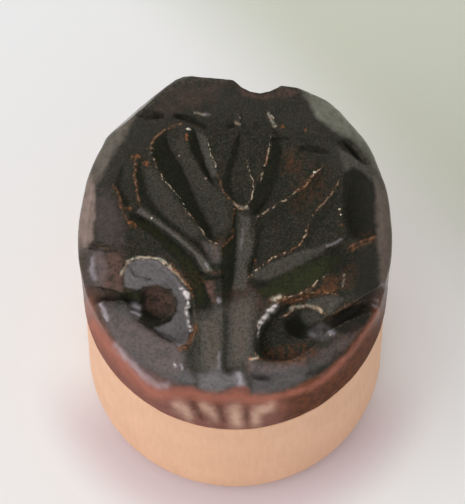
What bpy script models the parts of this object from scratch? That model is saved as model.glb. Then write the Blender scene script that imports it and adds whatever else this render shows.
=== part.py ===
"""Stamp seal: a dark knife-carved head with a leaning face, on a pale turned shank."""

from math import cos, log, pi, radians, sin, tan

import bmesh
import bpy
from mathutils import Matrix, Vector

MM = 0.001

# The head: its radius at the foot, its height to the middle of the face, and how its sides swell and drift
HEAD_RADIUS = 9.15 * MM
HEAD_HEIGHT = 7.5 * MM
HEAD_FLARE = 0.6 * MM
HEAD_LOWER_ROUND = 0.45 * MM
HEAD_DRIFT = 0.9 * MM
FACE_LEAN = radians(16)
FACE_DOME = 0.25 * MM

# The shank: set in a little from the head, with a flat foot of its own
SHANK_INSET = 0.1 * MM
SHANK_HEIGHT = 10.8 * MM
SHANK_FOOT_ROUND = 1.3 * MM
SHANK_TOP_ROUND = 0.25 * MM
JOINT_CLEARANCE = 0.3 * MM

# Colours, linear, and roughness
HEAD_COLOUR = (0.035, 0.022, 0.016)
HEAD_ROUGHNESS = 0.35
SHANK_COLOUR = (0.66, 0.45, 0.30)
SHANK_ROUGHNESS = 0.55

# Fineness of the round pieces
TURNED_STEPS = 96
ARC_STEPS = 6
DOME_STEPS = 12
LEAF_STATIONS = 8
EYE_SIDES = 20
WELD = 0.00001
SMOOTH_BELOW = radians(30)

# The carving is laid out in face units: right and up from the middle of the face, ten to the head's radius
HEAD_UNITS = 10
UNIT = HEAD_RADIUS / HEAD_UNITS
ABOVE_FACE = 1.6
CUT_REACH = 30
BLANK_SPARE = 1.5
DOME_REACH = 2

# Knife facets round the rim: direction (degrees, from the right), distance from the centre, slope (degrees)
BACK_EDGE = 10.53
RIM_SIDES = [
    (3, 9.16, 58),
    (17, 9.42, 55),
    (43.5, 9.53, 46),
    (67.7, 10.85, 83),
    (83.4, BACK_EDGE, 86),
    (131, 10.4, 76),
    (155.5, 9.26, 48),
    (173, 9.15, 58),
    (338, 9.66, 72),
]
RIM_BEVELS = [
    (82, 9.9, 34),
    (113, 9.52, 32),
    (148, 8.3, 16),
    (204, 9.3, 52),
    (222, 9.15, 58),
    (241, 7.2, 17),
    (246, 8.1, 34),
    (268, 8.3, 34),
    (269, 9.0, 60),
    (278, 7.75, 20),
    (286, 8.65, 38),
    (291, 9.35, 60),
    (305, 8.5, 28),
    (311, 9.5, 60),
    (322, 9.0, 38),
    (331, 9.5, 62),
    (342, 7.6, 16),
]
# Facets with an end of their own: direction, distance, slope, sideways middle and width
SHORT_BEVELS = [
    (176, 7.3, 17, -1.05, 3.6),
    (187, 7.0, 24, 0.9, 3.6),
]

# Leaves: foot right, foot up, bearing (degrees), length, width, depth, keel towards the left edge
LEAVES = [
    (-1.8, -3.0, 136.4, 6.85, 1.15, 0.85, -0.5),
    (-2.3, -4.3, 131.0, 6.6, 1.4, 0.45, 0.0),
    (-1.75, -1.2, 122.0, 7.8, 2.35, 0.5, 0.7),
    (-0.9, 0.1, 121.5, 8.1, 2.6, 0.62, 0.1),
    (-0.3, 2.6, 118.0, 5.6, 1.5, 0.45, 0.2),
    (0.2, 2.5, 91.0, 5.8, 2.1, 0.5, 0.4),
    (0.95, 2.4, 84.0, 5.7, 1.2, 0.35, 0.3),
    (1.4, 1.8, 72.8, 5.4, 1.4, 0.55, 0.5),
    (1.7, 1.85, 57.5, 5.1, 2.0, 0.45, 0.1),
    (1.3, -0.1, 41.0, 6.3, 2.6, 0.45, 0.2),
    (0.8, -3.5, 25.1, 7.3, 2.5, 0.65, 0.2),
]
LEAF_BELLY = 0.62
LEAF_FULLNESS = 0.5

# Stem: long cuts from the foot of the face up to the leaves, laid out as the leaves are
STEM_CUTS = [
    (-0.6, -9.2, 86.0, 11.2, 1.05, 0.5, 0.3),
    (-2.3, -9.0, 90.0, 4.4, 0.9, 0.5, -0.2),
    (-0.95, -7.6, 91.0, 3.2, 0.3, 0.3, 0.0),
    (1.3, -0.9, 90.0, 3.0, 0.4, 0.35, 0.0),
]

# Short crescent nicks in the border, laid out as the leaves are
NICKS = [
    (-2.0, 7.55, 157.0, 2.0, 0.3, 0.3, 0.0),
    (4.1, 6.15, -8.0, 1.9, 0.35, 0.3, 0.0),
    (0.2, 7.3, 75.0, 1.1, 0.35, 0.25, 0.0),
    (2.3, 7.9, -62.0, 1.9, 0.5, 0.25, 0.0),
    (-2.2, -1.85, -18.0, 1.45, 0.4, 0.4, 0.0),
    (-6.5, 8.35, 0.0, 1.9, 0.6, 1.0, 0.0),
    (7.0, 6.6, -43.0, 2.1, 0.6, 0.9, 0.0),
    (1.0, -8.6, -5.0, 1.4, 0.6, 0.6, 0.0),
]

# Eyes: middle right, middle up, half length, half width, turn, depth, tip towards the stem (degrees)
EYES = [
    (-5.0, -3.6, 3.3, 1.85, -52, 0.62, 11),
    (3.98, -5.4, 2.9, 1.75, 37, 0.62, -11),
]
EYE_WALL_FLARE = 0.22

# Drilled pits in the eyes: middle right, middle up, half width, half height, depth
PITS = [
    (-4.95, -3.8, 1.4, 1.25, 1.55),
    (4.3, -5.1, 1.5, 1.2, 1.5),
]

# Gutters from the pits to the rim: start and end as right, up, height of the axis, and the two radii
GUTTERS = [
    ((-5.7, -3.75, -0.2), (-10.6, -2.9, -1.5), 0.4, 0.5),
    ((5.6, -5.4, -0.35), (9.9, -3.1, -1.0), 0.42, 0.7),
]

# Scooped facet at the right edge and the scalloped notch at the back of the rim
SCOOP_PLACE = (8.1, 2.3)
SCOOP_RADII = (1.0, 2.2, 0.55)
NOTCH_RIGHT = 1.6
NOTCH_RADIUS = 2.1
NOTCH_DEPTH = 0.75
NOTCH_RUN = 5

# Upright cuts low on the front: turns from the front (degrees), one size, and ends as shares of the height
FRONT_CUT_TURNS = [-14.5, -6.0, 4.5]
FRONT_CUT_RADIUS = 0.5
FRONT_CUT_DEPTH = 0.28
FRONT_CUT_LOW = 0.16
FRONT_CUT_TOP = 0.62

SHANK_RADIUS = HEAD_RADIUS - SHANK_INSET
HEAD_BOTTOM = SHANK_HEIGHT + JOINT_CLEARANCE
HEAD_SLANT = HEAD_DRIFT / HEAD_HEIGHT
BLANK_HEIGHT = HEAD_HEIGHT + HEAD_RADIUS * tan(FACE_LEAN) * BLANK_SPARE
FACE = Matrix.Translation((0, 0, HEAD_BOTTOM + HEAD_HEIGHT)) @ Matrix.Rotation(FACE_LEAN, 4, "X")


def clear_scene():
    for old in list(bpy.data.objects):
        bpy.data.objects.remove(old, do_unlink=True)


def collection(name):
    found = bpy.data.collections.get(name)
    if found is None:
        found = bpy.data.collections.new(name)
        bpy.context.scene.collection.children.link(found)
    return found


def material(name, colour, roughness):
    made = bpy.data.materials.new(name)
    made.use_nodes = True
    shader = made.node_tree.nodes["Principled BSDF"]
    shader.inputs["Base Color"].default_value = (*colour, 1)
    shader.inputs["Roughness"].default_value = roughness
    shader.inputs["Metallic"].default_value = 0
    made.diffuse_color = (*colour, 1)
    return made


def new_part(name, mesh):
    made = bpy.data.objects.new(name, mesh)
    collection("stamp_seal").objects.link(made)
    return made


def new_cutter(name, mesh):
    made = bpy.data.objects.new(name, mesh)
    made.hide_render = True
    made.display_type = "WIRE"
    collection("cutters").objects.link(made)
    return made


def arc(centre, radius, start, turn):
    """Points of an arc round centre, from the start angle through the turn, both in radians."""
    for step in range(ARC_STEPS + 1):
        angle = start + turn * step / ARC_STEPS
        yield (centre[0] + radius * cos(angle), centre[1] + radius * sin(angle))


def turned(name, profile):
    """The mesh of a profile turned round Z: (radius, height) points from the top of the axis to its foot."""
    bm = bmesh.new()
    verts = [bm.verts.new((radius, 0, height)) for radius, height in profile]
    for upper, lower in zip(verts, verts[1:]):
        bm.edges.new((upper, lower))
    mesh = bpy.data.meshes.new(name)
    bm.to_mesh(mesh)
    bm.free()
    outline = new_cutter(name, mesh)
    screw = outline.modifiers.new("Turn", "SCREW")
    screw.axis = "Z"
    screw.steps = TURNED_STEPS
    screw.render_steps = TURNED_STEPS
    screw.use_merge_vertices = True
    screw.merge_threshold = WELD
    seen = outline.evaluated_get(bpy.context.evaluated_depsgraph_get())
    body = bpy.data.meshes.new_from_object(seen)
    bpy.data.objects.remove(outline, do_unlink=True)
    body.shade_smooth()
    body.set_sharp_from_angle(angle=SMOOTH_BELOW)
    return body


def dome_drop(right, up):
    """How far, in units, the slightly domed face lies under its own plane."""
    return FACE_DOME / UNIT * (right * right + up * up) / HEAD_UNITS**2


def cutter_from(name, build, place):
    """A cutter whose mesh is filled in by build, in units, and set on the face by place."""
    bm = bmesh.new()
    build(bm)
    bmesh.ops.recalc_face_normals(bm, faces=bm.faces)
    mesh = bpy.data.meshes.new(name)
    bm.to_mesh(mesh)
    bm.free()
    made = new_cutter(name, mesh)
    made.matrix_world = FACE @ Matrix.Scale(UNIT, 4) @ place
    return made


def leaf_cutter(name, right, up, bearing, length, width, depth, keel):
    """A chisel cut with a leaf's outline at the surface, widest at its belly, and a keel below it."""
    along = Vector((cos(radians(bearing)), sin(radians(bearing)), 0))
    across = Vector((-along.y, along.x, 0))
    foot = Vector((right, up, 0))
    swelling = log(0.5) / log(LEAF_BELLY)
    middle = foot + along * length * LEAF_BELLY
    deepest = middle + across * keel * width / 2 - Vector((0, 0, depth))
    spread = (depth + ABOVE_FACE) / depth

    def build(bm):
        for station in range(LEAF_STATIONS + 1):
            share = station / LEAF_STATIONS
            swell = abs(sin(pi * share**swelling)) ** LEAF_FULLNESS
            axis = foot + along * length * share
            bm.verts.new(axis + across * keel * swell * width / 2 - Vector((0, 0, depth * swell)))
            for side in (-0.5, 0.5):
                edge = axis + across * side * swell * width
                bm.verts.new(deepest + (edge - deepest) * spread)
        bmesh.ops.convex_hull(bm, input=bm.verts)
        inner = [vert for vert in bm.verts if not vert.link_faces]
        bmesh.ops.delete(bm, geom=inner, context="VERTS")

    return cutter_from(name, build, Matrix.Translation((0, 0, -dome_drop(middle.x, middle.y))))


def facet_cutter(name, direction, distance, slope, sideways=0.0, width=CUT_REACH):
    """A slab whose underside is the facet: it starts at the distance and falls outwards by the slope."""
    turn = Matrix.Rotation(radians(direction), 4, "Z")
    place = turn @ Matrix.Translation((distance, sideways, 0)) @ Matrix.Rotation(radians(slope), 4, "Y")
    size = Matrix.Diagonal((2 * CUT_REACH, width, CUT_REACH, 1))

    def build(bm):
        bmesh.ops.create_cube(bm, size=1, matrix=Matrix.Translation((0, 0, CUT_REACH / 2)) @ size)

    return cutter_from(name, build, place)


def eye_cutter(name, right, up, half_length, half_width, turn, depth, tip):
    """A sunk oval field with steep walls, its floor tipped towards the stem."""
    tall = depth + ABOVE_FACE
    size = Matrix.Diagonal((half_length, half_width, 1, 1))
    place = Matrix.Translation((right, up, -depth - dome_drop(right, up)))
    place = place @ Matrix.Rotation(radians(tip), 4, "Y") @ Matrix.Rotation(radians(turn), 4, "Z")

    def build(bm):
        bmesh.ops.create_cone(
            bm,
            cap_ends=True,
            segments=EYE_SIDES,
            radius1=1 - EYE_WALL_FLARE * depth / half_width,
            radius2=1 + EYE_WALL_FLARE * ABOVE_FACE / half_width,
            depth=tall,
            matrix=size @ Matrix.Translation((0, 0, tall / 2)),
        )

    return cutter_from(name, build, place)


def ball_cutter(name, centre, radii):
    def build(bm):
        size = Matrix.Diagonal((*radii, 1))
        bmesh.ops.create_uvsphere(bm, u_segments=EYE_SIDES, v_segments=EYE_SIDES // 2, radius=1, matrix=size)

    return cutter_from(name, build, Matrix.Translation(centre))


def rod_cutter(name, start, end, start_radius, end_radius, place=None):
    """A round rod from start to end, in units, for a gutter, an upright cut or a scallop."""
    start = Vector(start)
    reach = Vector(end) - start
    turn = reach.to_track_quat("Z", "X").to_matrix().to_4x4()

    def build(bm):
        bmesh.ops.create_cone(
            bm,
            cap_ends=True,
            segments=EYE_SIDES,
            radius1=start_radius,
            radius2=end_radius,
            depth=reach.length,
            matrix=Matrix.Translation(start + reach / 2) @ turn,
        )

    made = cutter_from(name, build, Matrix.Identity(4))
    if place is not None:
        made.matrix_world = place
    return made


def dome_cutter():
    """All that stands above the domed face."""
    profile = [(0, BLANK_HEIGHT), (DOME_REACH * HEAD_RADIUS, BLANK_HEIGHT)]
    for step in range(DOME_STEPS, -1, -1):
        share = DOME_REACH * step / DOME_STEPS
        profile.append((HEAD_RADIUS * share, -FACE_DOME * share**2))
    made = new_cutter("face_dome", turned("face_dome", profile))
    made.matrix_world = FACE
    return made


def make_shank():
    foot = SHANK_FOOT_ROUND
    top = SHANK_TOP_ROUND
    profile = [(0, SHANK_HEIGHT)]
    profile += arc((SHANK_RADIUS - top, SHANK_HEIGHT - top), top, pi / 2, -pi / 2)
    profile += arc((SHANK_RADIUS - foot, foot), foot, 0, -pi / 2)
    profile.append((0, 0))
    shank = new_part("shank", turned("shank", profile))
    shank.data.materials.append(material("pale_shank", SHANK_COLOUR, SHANK_ROUGHNESS))


def head_blank():
    """The head before its face is cut: a barrel that flares and drifts back towards its top."""
    lower = HEAD_LOWER_ROUND
    profile = [(0, BLANK_HEIGHT), (HEAD_RADIUS + HEAD_FLARE, BLANK_HEIGHT)]
    for step in range(ARC_STEPS - 1, 0, -1):
        share = step / ARC_STEPS
        profile.append((HEAD_RADIUS + HEAD_FLARE * share**2, lower + (BLANK_HEIGHT - lower) * share))
    profile += arc((HEAD_RADIUS - lower, lower), lower, 0, -pi / 2)
    profile.append((0, 0))
    blank = turned("carved_head", profile)
    blank.transform(Matrix.Shear("XY", 4, (0, HEAD_SLANT)))
    blank.materials.append(material("dark_head", HEAD_COLOUR, HEAD_ROUGHNESS))
    head = new_part("carved_head", blank)
    head.location.z = HEAD_BOTTOM
    return head


def face_cutters():
    yield dome_cutter()
    for count, facet in enumerate(RIM_SIDES):
        yield facet_cutter(f"rim_side_{count}", *facet)
    for count, facet in enumerate(RIM_BEVELS + SHORT_BEVELS):
        yield facet_cutter(f"rim_bevel_{count}", *facet)
    for count, cut in enumerate(LEAVES + STEM_CUTS + NICKS):
        yield leaf_cutter(f"leaf_cut_{count}", *cut)
    for count, eye in enumerate(EYES):
        yield eye_cutter(f"eye_{count}", *eye)
    for count, (right, up, half_width, half_height, depth) in enumerate(PITS):
        yield ball_cutter(f"pit_{count}", (right, up, 0), (half_width, half_height, depth))
    for count, gutter in enumerate(GUTTERS):
        yield rod_cutter(f"gutter_{count}", *gutter)
    yield ball_cutter("scoop", (*SCOOP_PLACE, 0), SCOOP_RADII)
    centre = BACK_EDGE + NOTCH_RADIUS - NOTCH_DEPTH
    foot = (NOTCH_RIGHT, centre, -NOTCH_RUN)
    yield rod_cutter("notch", foot, (NOTCH_RIGHT, centre, ABOVE_FACE), NOTCH_RADIUS, NOTCH_RADIUS)
    yield from front_cutters()


def front_cutters():
    """Upright rods that follow the slant of the head's side, laid out from its foot instead of its face."""
    place = Matrix.Translation((0, 0, HEAD_BOTTOM)) @ Matrix.Scale(UNIT, 4)
    low = HEAD_HEIGHT / UNIT * FRONT_CUT_LOW
    top = HEAD_HEIGHT / UNIT * FRONT_CUT_TOP
    out = HEAD_UNITS + FRONT_CUT_RADIUS - FRONT_CUT_DEPTH
    for count, turn in enumerate(FRONT_CUT_TURNS):
        right = out * sin(radians(turn))
        up = -out * cos(radians(turn))
        start = (right, up + low * HEAD_SLANT, low)
        end = (right, up + top * HEAD_SLANT, top)
        yield rod_cutter(f"front_cut_{count}", start, end, FRONT_CUT_RADIUS, FRONT_CUT_RADIUS, place)


def make_head():
    head = head_blank()
    for cutter in face_cutters():
        cut = head.modifiers.new(cutter.name, "BOOLEAN")
        cut.operation = "DIFFERENCE"
        cut.solver = "EXACT"
        cut.object = cutter


clear_scene()
make_shank()
make_head()
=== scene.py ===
"""Stamp seal, dressed: the knife-carved dark head, the pale turned shank and a plain studio."""

from math import cos, pi, radians, sin
from types import SimpleNamespace

import bpy
import numpy as np
from bpy.props import FloatProperty, FloatVectorProperty, IntProperty, PointerProperty
from mathutils import Euler, Matrix, Vector, noise
from mathutils.bvhtree import BVHTree


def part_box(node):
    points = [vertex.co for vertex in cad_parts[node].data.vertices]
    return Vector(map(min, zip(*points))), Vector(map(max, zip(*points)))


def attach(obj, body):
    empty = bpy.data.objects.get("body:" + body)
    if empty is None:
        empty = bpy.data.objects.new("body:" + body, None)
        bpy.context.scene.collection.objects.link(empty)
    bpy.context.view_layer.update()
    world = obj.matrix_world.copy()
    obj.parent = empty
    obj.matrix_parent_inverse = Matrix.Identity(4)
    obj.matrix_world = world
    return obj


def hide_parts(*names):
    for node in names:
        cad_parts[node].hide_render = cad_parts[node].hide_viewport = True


bl_info = {
    "name": "Stamp Seal",
    "version": (1, 0, 0),
    "blender": (4, 5, 0),
    "location": "View3D > Sidebar > Stamp Seal",
    "description": "Builds a knife-carved stamp seal with its turned shank and a pale studio",
    "category": "Object",
}

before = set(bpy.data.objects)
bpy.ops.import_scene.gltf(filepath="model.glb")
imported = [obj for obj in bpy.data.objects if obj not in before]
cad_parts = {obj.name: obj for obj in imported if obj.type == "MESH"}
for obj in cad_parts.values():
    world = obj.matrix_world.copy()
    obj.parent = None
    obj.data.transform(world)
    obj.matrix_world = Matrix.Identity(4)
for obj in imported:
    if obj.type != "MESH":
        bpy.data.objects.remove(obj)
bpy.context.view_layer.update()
MM = 0.001


def length_setting(name, description, default):
    return FloatProperty(
        name=name, description=description, default=default, subtype="DISTANCE", unit="LENGTH"
    )


def angle_setting(name, description, default):
    return FloatProperty(
        name=name, description=description, default=default, subtype="ANGLE", unit="ROTATION"
    )


def colour_setting(name, description, default):
    return FloatVectorProperty(name=name, description=description, default=default, subtype="COLOR", size=3)


class HeadSettings(bpy.types.PropertyGroup):
    face_height: length_setting("Face height", "Height of the middle of the face above the floor", 18.6 * MM)
    face_lean: angle_setting("Face lean", "How far the face leans towards the front", radians(16))
    face_unit: length_setting(
        "Face unit", "The carving's unit of length, ten to the head's radius", 0.915 * MM
    )
    rim_radius: length_setting(
        "Rim radius", "From the middle of the face to the rim, along the face", 9.4 * MM
    )
    rim_reach: length_setting(
        "Rim reach", "How much further the rim reaches at the back, and how much less at the front", 0.3 * MM
    )
    rim_blend: length_setting(
        "Rim blend", "How far on each side of the rim the surface is read slantwise", 2.0 * MM
    )
    foot_radius: length_setting("Foot radius", "Radius of the head where it meets the shank", 9.15 * MM)
    foot_round: length_setting("Foot round", "Rounding of the head's lower edge", 0.45 * MM)
    face_cells: IntProperty(name="Face cells", description="Cells across the face", default=256)
    wear_passes: IntProperty(name="Wear", description="Passes that round the cut edges", default=1)
    brown: colour_setting("Brown", "Brown of the stone", (0.026, 0.020, 0.015))
    green: colour_setting("Green", "Green-black of the stone", (0.016, 0.018, 0.012))
    # black is the stone's near-black grains and also the painted shade in its hollows, pits, cracks and cuts
    black: colour_setting("Black", "Dark of the hollows", (0.007, 0.007, 0.004))
    # olive is painted shade on the leaves' left walls, which face away from the light
    shade_olive: colour_setting("Olive", "Shaded walls of the leaves", (0.009, 0.011, 0.005))
    # frost is mostly a painted reflection of the window on the facets turned towards it, and partly a pale
    # bloom in the left eye
    frost: colour_setting("Frost", "Pale lavender-grey bloom", (0.160, 0.146, 0.150))
    blush: colour_setting("Blush", "Pinkish brown of the worn facets", (0.125, 0.068, 0.055))
    worn: colour_setting("Worn", "Rubbed edges of the stone", (0.15, 0.11, 0.08))
    speck: colour_setting("Speck", "Light grains in the stone", (0.074, 0.070, 0.052))
    grey: colour_setting("Grey", "Grey of the planed facets", (0.038, 0.034, 0.028))
    red: colour_setting("Red", "Red-brown of the side", (0.120, 0.038, 0.016))
    # salmon is the rim's own red with a painted highlight along the edge that catches the light
    salmon: colour_setting("Salmon", "Worn red of the rim", (0.310, 0.108, 0.072))
    # haze and mist are painted reflections of the bright room on the steep bevels round the face, greener at
    # the back right
    haze: colour_setting("Haze", "Grey of the bevels round the face", (0.225, 0.165, 0.142))
    green_bevel_sheen: colour_setting("Mist", "Greener grey of the bevels at the right", (0.285, 0.280, 0.225))
    # ash is painted light on the walls and rims that face the light
    ash: colour_setting("Ash", "Warm grey of the lit walls", (0.130, 0.118, 0.100))
    # moss is painted shade, olive, on the long leaves' walls and the gutter that face away from the light
    moss: colour_setting("Moss", "Olive of the long leaves", (0.029, 0.034, 0.011))
    umber: colour_setting("Umber", "Brown stain of the face", (0.085, 0.036, 0.017))
    white: colour_setting("White", "Chipped teeth on the eyes' walls", (0.900, 0.820, 0.800))
    # rose is painted light: the red side lighter towards the left, where the light comes from
    lit_side_rose: colour_setting("Rose", "Dull red of the lower side", (0.185, 0.075, 0.058))
    bar: colour_setting("Bar", "Pale bars between the short front cuts", (0.520, 0.330, 0.250))
    glint: colour_setting("Glint", "Lavender shine of the outer arrises", (0.480, 0.430, 0.480))
    rust: colour_setting("Rust", "Orange-brown of the worn arrises", (0.215, 0.085, 0.033))
    pale: colour_setting("Pale", "Cream of the chipped arrises", (0.720, 0.660, 0.540))


class ShankSettings(bpy.types.PropertyGroup):
    radius: length_setting("Radius", "Radius of the shank", 9.04 * MM)
    height: length_setting("Height", "Height of the shank, up to the head", 11.08 * MM)
    foot_round: length_setting("Foot round", "Rounding of the lower edge", 1.3 * MM)
    top_round: length_setting("Top round", "Rounding of the edge under the head", 0.12 * MM)
    peach: colour_setting("Peach", "Colour of the shank", (0.68, 0.40, 0.255))
    tan: colour_setting("Tan", "Darker grain of the shank", (0.54, 0.30, 0.18))


class StageSettings(bpy.types.PropertyGroup):
    floor_size: length_setting("Floor size", "Length of the paper's side", 0.9)
    floor_colour: colour_setting("Paper", "Colour of the paper", (0.85, 0.85, 0.86))
    # the far paper's colour is a painted shadow, darker and greener, towards the back right
    far_shadow_colour: colour_setting("Far paper", "Colour of the paper towards the back right", (0.60, 0.62, 0.525))
    # the near paper's colour is a painted contact shadow with pinkish bounce light from the seal
    near_shade_and_bounce: colour_setting("Near paper", "Colour of the paper towards the front", (0.66, 0.57, 0.60))
    camera_tilt: angle_setting("Camera tilt", "How far the camera looks off the vertical", radians(22))
    camera_distance: length_setting("Camera distance", "From the camera to the middle of the face", 0.3)
    pixels_per_metre: FloatProperty(
        name="Pixels per metre", description="Scale of the picture at the middle of the face", default=17000.0
    )


PICTURE_WIDTH = 465
PICTURE_HEIGHT = 504
FACE_SHOWS_AT = (235.0, 243.0)
FACE_DOME = 0.25

# Worn arrises: points (right, up) in face units, half width and lift in mm, how pale and how rusty
ARRISES = [
    ([(-5.5, 6.1), (-5.1, 5.1)], 0.07, 0.05, 0.75, 0.3),
    ([(-4.7, 4.4), (-4.5, 4.0)], 0.08, 0.05, 1.0, 0.2),
    ([(-4.2, 3.7), (-3.7, 3.1), (-3.2, 2.3)], 0.06, 0.06, 0.95, 0.0),
    ([(-3.1, 2.0), (-2.6, 1.5)], 0.07, 0.03, 0.45, 0.5),
    ([(-2.2, 0.9), (-1.7, 0.2), (-1.2, 0.0)], 0.07, 0.05, 0.8, 0.4),
    ([(-1.7, 6.5), (-1.6, 5.9)], 0.06, 0.05, 0.9, 0.1),
    ([(-1.5, 5.7), (-1.3, 5.1), (-1.1, 4.5)], 0.06, 0.05, 0.9, 0.0),
    ([(-1.1, 4.4), (-0.8, 3.5), (-0.4, 2.9)], 0.08, 0.03, 0.2, 0.6),
    ([(2.3, 6.8), (2.25, 6.2), (2.1, 5.7)], 0.06, 0.05, 0.85, 0.1),
    ([(2.1, 5.6), (2.0, 5.2)], 0.09, 0.06, 0.45, 1.0),
    ([(1.9, 5.0), (1.65, 4.2)], 0.06, 0.05, 0.75, 0.1),
    ([(0.8, 5.2), (1.0, 4.5), (1.15, 4.0)], 0.05, 0.04, 0.7, 0.1),
    ([(1.15, 4.1), (1.2, 3.5), (1.05, 2.9), (0.8, 2.4)], 0.07, 0.05, 0.9, 0.0),
    ([(1.5, 1.7), (2.3, 2.2), (3.4, 2.9)], 0.06, 0.05, 0.6, 0.1),
    ([(3.4, 2.9), (4.0, 3.4)], 0.05, 0.03, 0.45, 0.3),
    ([(4.0, 3.4), (4.5, 3.7), (5.0, 4.3)], 0.15, 0.04, 0.3, 1.0),
    ([(4.7, 4.1), (5.4, 4.8)], 0.09, 0.06, 0.8, 0.4),
    ([(6.6, 3.9), (6.3, 3.3), (5.8, 2.7), (5.1, 2.0), (4.9, 1.6)], 0.07, 0.04, 0.35, 0.5),
    ([(4.7, 1.0), (4.4, 0.3)], 0.09, 0.06, 0.8, 0.7),
    ([(4.3, 0.0), (3.8, -0.3), (3.5, -0.6)], 0.11, 0.05, 0.3, 1.0),
    ([(3.4, -0.6), (2.5, -0.9), (1.6, -1.6), (0.9, -2.2)], 0.07, 0.05, 0.75, 0.6),
    ([(2.5, -3.6), (2.9, -3.5)], 0.10, 0.06, 0.9, 0.1),
    ([(3.0, -3.5), (4.0, -3.4), (4.6, -3.0)], 0.06, 0.05, 0.75, 0.5),
    ([(4.9, -2.9), (5.3, -2.4), (5.8, -2.1)], 0.06, 0.06, 0.85, 0.1),
    ([(-6.9, -1.3), (-6.2, -0.95), (-5.0, -0.95), (-4.2, -1.6)], 0.07, 0.05, 0.95, 0.4),
    ([(-4.2, -1.6), (-3.8, -2.2), (-3.3, -2.8)], 0.07, 0.05, 0.7, 0.7),
    ([(-0.15, 2.8), (0.1, 2.4), (0.5, 2.2)], 0.06, 0.03, 0.45, 0.4),
    ([(0.55, 2.2), (0.9, 2.6)], 0.06, 0.03, 0.5, 0.1),
    ([(0.0, 2.2), (-0.1, 1.5)], 0.12, 0.02, 0.0, 0.8),
    ([(-0.1, 0.9), (-0.2, 0.4), (-0.8, -0.2)], 0.10, 0.03, 0.1, 0.7),
    ([(1.3, -7.4), (1.35, -6.4)], 0.05, 0.04, 0.7, 0.5),
    ([(1.4, -6.3), (1.45, -5.2), (1.9, -4.6), (2.6, -3.9)], 0.12, 0.07, 1.0, 0.1),
    ([(2.7, -3.9), (3.6, -3.7), (4.4, -3.5)], 0.09, 0.03, 0.35, 0.9),
    ([(4.4, -3.4), (5.4, -3.1), (6.4, -3.3)], 0.08, 0.05, 0.3, 0.9),
    ([(3.2, -4.6), (3.8, -4.2), (4.6, -4.0), (5.4, -4.2), (5.7, -4.5)], 0.10, 0.05, 0.45, 0.8),
    ([(0.9, -7.45), (1.5, -7.4), (2.6, -7.6), (3.6, -7.55)], 0.10, 0.03, 0.35, 0.9),
    ([(7.1, -4.0), (8.0, -3.7), (8.7, -3.5)], 0.12, 0.02, 0.1, 0.3),
    ([(-6.4, 5.3), (-6.45, 4.2), (-6.3, 3.4), (-6.2, 2.6)], 0.10, 0.05, 0.15, 0.9),
    ([(-7.8, 3.7), (-7.4, 3.0), (-7.3, 2.3), (-6.9, 1.4), (-6.6, 1.0)], 0.09, 0.04, 0.05, 0.8),
    ([(-5.5, 6.2), (-5.1, 6.9), (-4.5, 7.4), (-3.4, 7.8)], 0.07, 0.05, 0.15, 0.85),
    ([(-9.1, 0.0), (-8.2, -0.3)], 0.08, 0.03, 0.0, 0.4),
    ([(8.9, 0.4), (8.0, 0.1), (7.4, -0.2)], 0.09, 0.03, 0.1, 0.8),
]

# Small patches: place (right, up), half sizes and turn (degrees), how pale and how rusty, lift in mm
PATCHES = [
    (-6.4, 5.6, 0.5, 0.35, 20, 0.1, 0.7, 0.05),
    (-5.7, 5.2, 0.6, 0.3, -20, 0.1, 0.6, 0.03),
    (-5.4, 5.8, 0.22, 0.35, 0, 0.6, 0.1, 0.05),
    (-3.0, 7.4, 0.3, 0.14, -10, 0.85, 0.2, 0.05),
    (-3.1, 6.9, 0.16, 0.32, 0, 0.1, 0.9, 0.02),
    (-3.6, 5.7, 0.1, 0.1, 0, 0.9, 0.0, 0.04),
    (-2.8, 5.4, 0.4, 0.15, -35, 0.2, 0.5, 0.0),
    (-1.85, 4.2, 0.17, 0.13, 0, 0.95, 0.2, 0.05),
    (-6.9, 2.2, 0.45, 0.2, 10, 0.25, 0.8, 0.04),
    (-6.6, 1.2, 0.4, 0.25, -40, 0.0, 0.9, 0.03),
    (-5.35, 1.65, 0.12, 0.12, 0, 1.0, 0.0, 0.04),
    (0.3, 8.2, 0.08, 0.28, 10, 0.8, 0.0, 0.04),
    (2.4, 8.2, 0.16, 0.45, 25, 0.65, 0.1, 0.05),
    (2.6, 7.6, 0.25, 0.14, 0, 0.7, 0.0, 0.04),
    (3.0, 7.55, 0.22, 0.22, 0, 0.1, 0.9, 0.0),
    (4.55, 7.3, 0.14, 0.28, 0, 0.15, 0.7, 0.03),
    (5.05, 6.8, 0.2, 0.12, 0, 0.55, 0.1, 0.03),
    (3.7, 5.3, 0.7, 0.9, 0, 0.0, 0.35, 0.0),
    (5.1, 4.6, 0.13, 0.13, 0, 1.0, 0.1, 0.05),
    (6.75, 2.2, 0.12, 0.12, 0, 1.0, 0.0, 0.05),
    (6.8, 1.85, 0.12, 0.12, 0, 0.8, 0.1, 0.05),
    (6.9, 1.2, 0.25, 0.2, 0, 0.0, 0.6, 0.0),
    (-2.6, -5.6, 0.22, 0.5, -15, 0.35, 0.9, 0.02),
    (-3.85, -7.8, 0.14, 0.1, 0, 0.8, 0.0, 0.03),
    (-3.35, -8.0, 0.14, 0.1, 0, 0.7, 0.0, 0.03),
    (-1.1, -3.7, 0.14, 0.25, 0, 0.6, 0.0, 0.04),
    (1.3, -1.2, 0.16, 0.5, 0, 0.05, 0.6, 0.0),
    (6.1, -5.9, 0.15, 0.12, 0, 0.7, 0.1, 0.02),
    (1.0, -7.4, 0.3, 0.16, 0, 0.4, 0.9, 0.02),
    (-0.2, -7.0, 0.12, 0.3, 0, 0.45, 0.1, 0.02),
]

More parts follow.
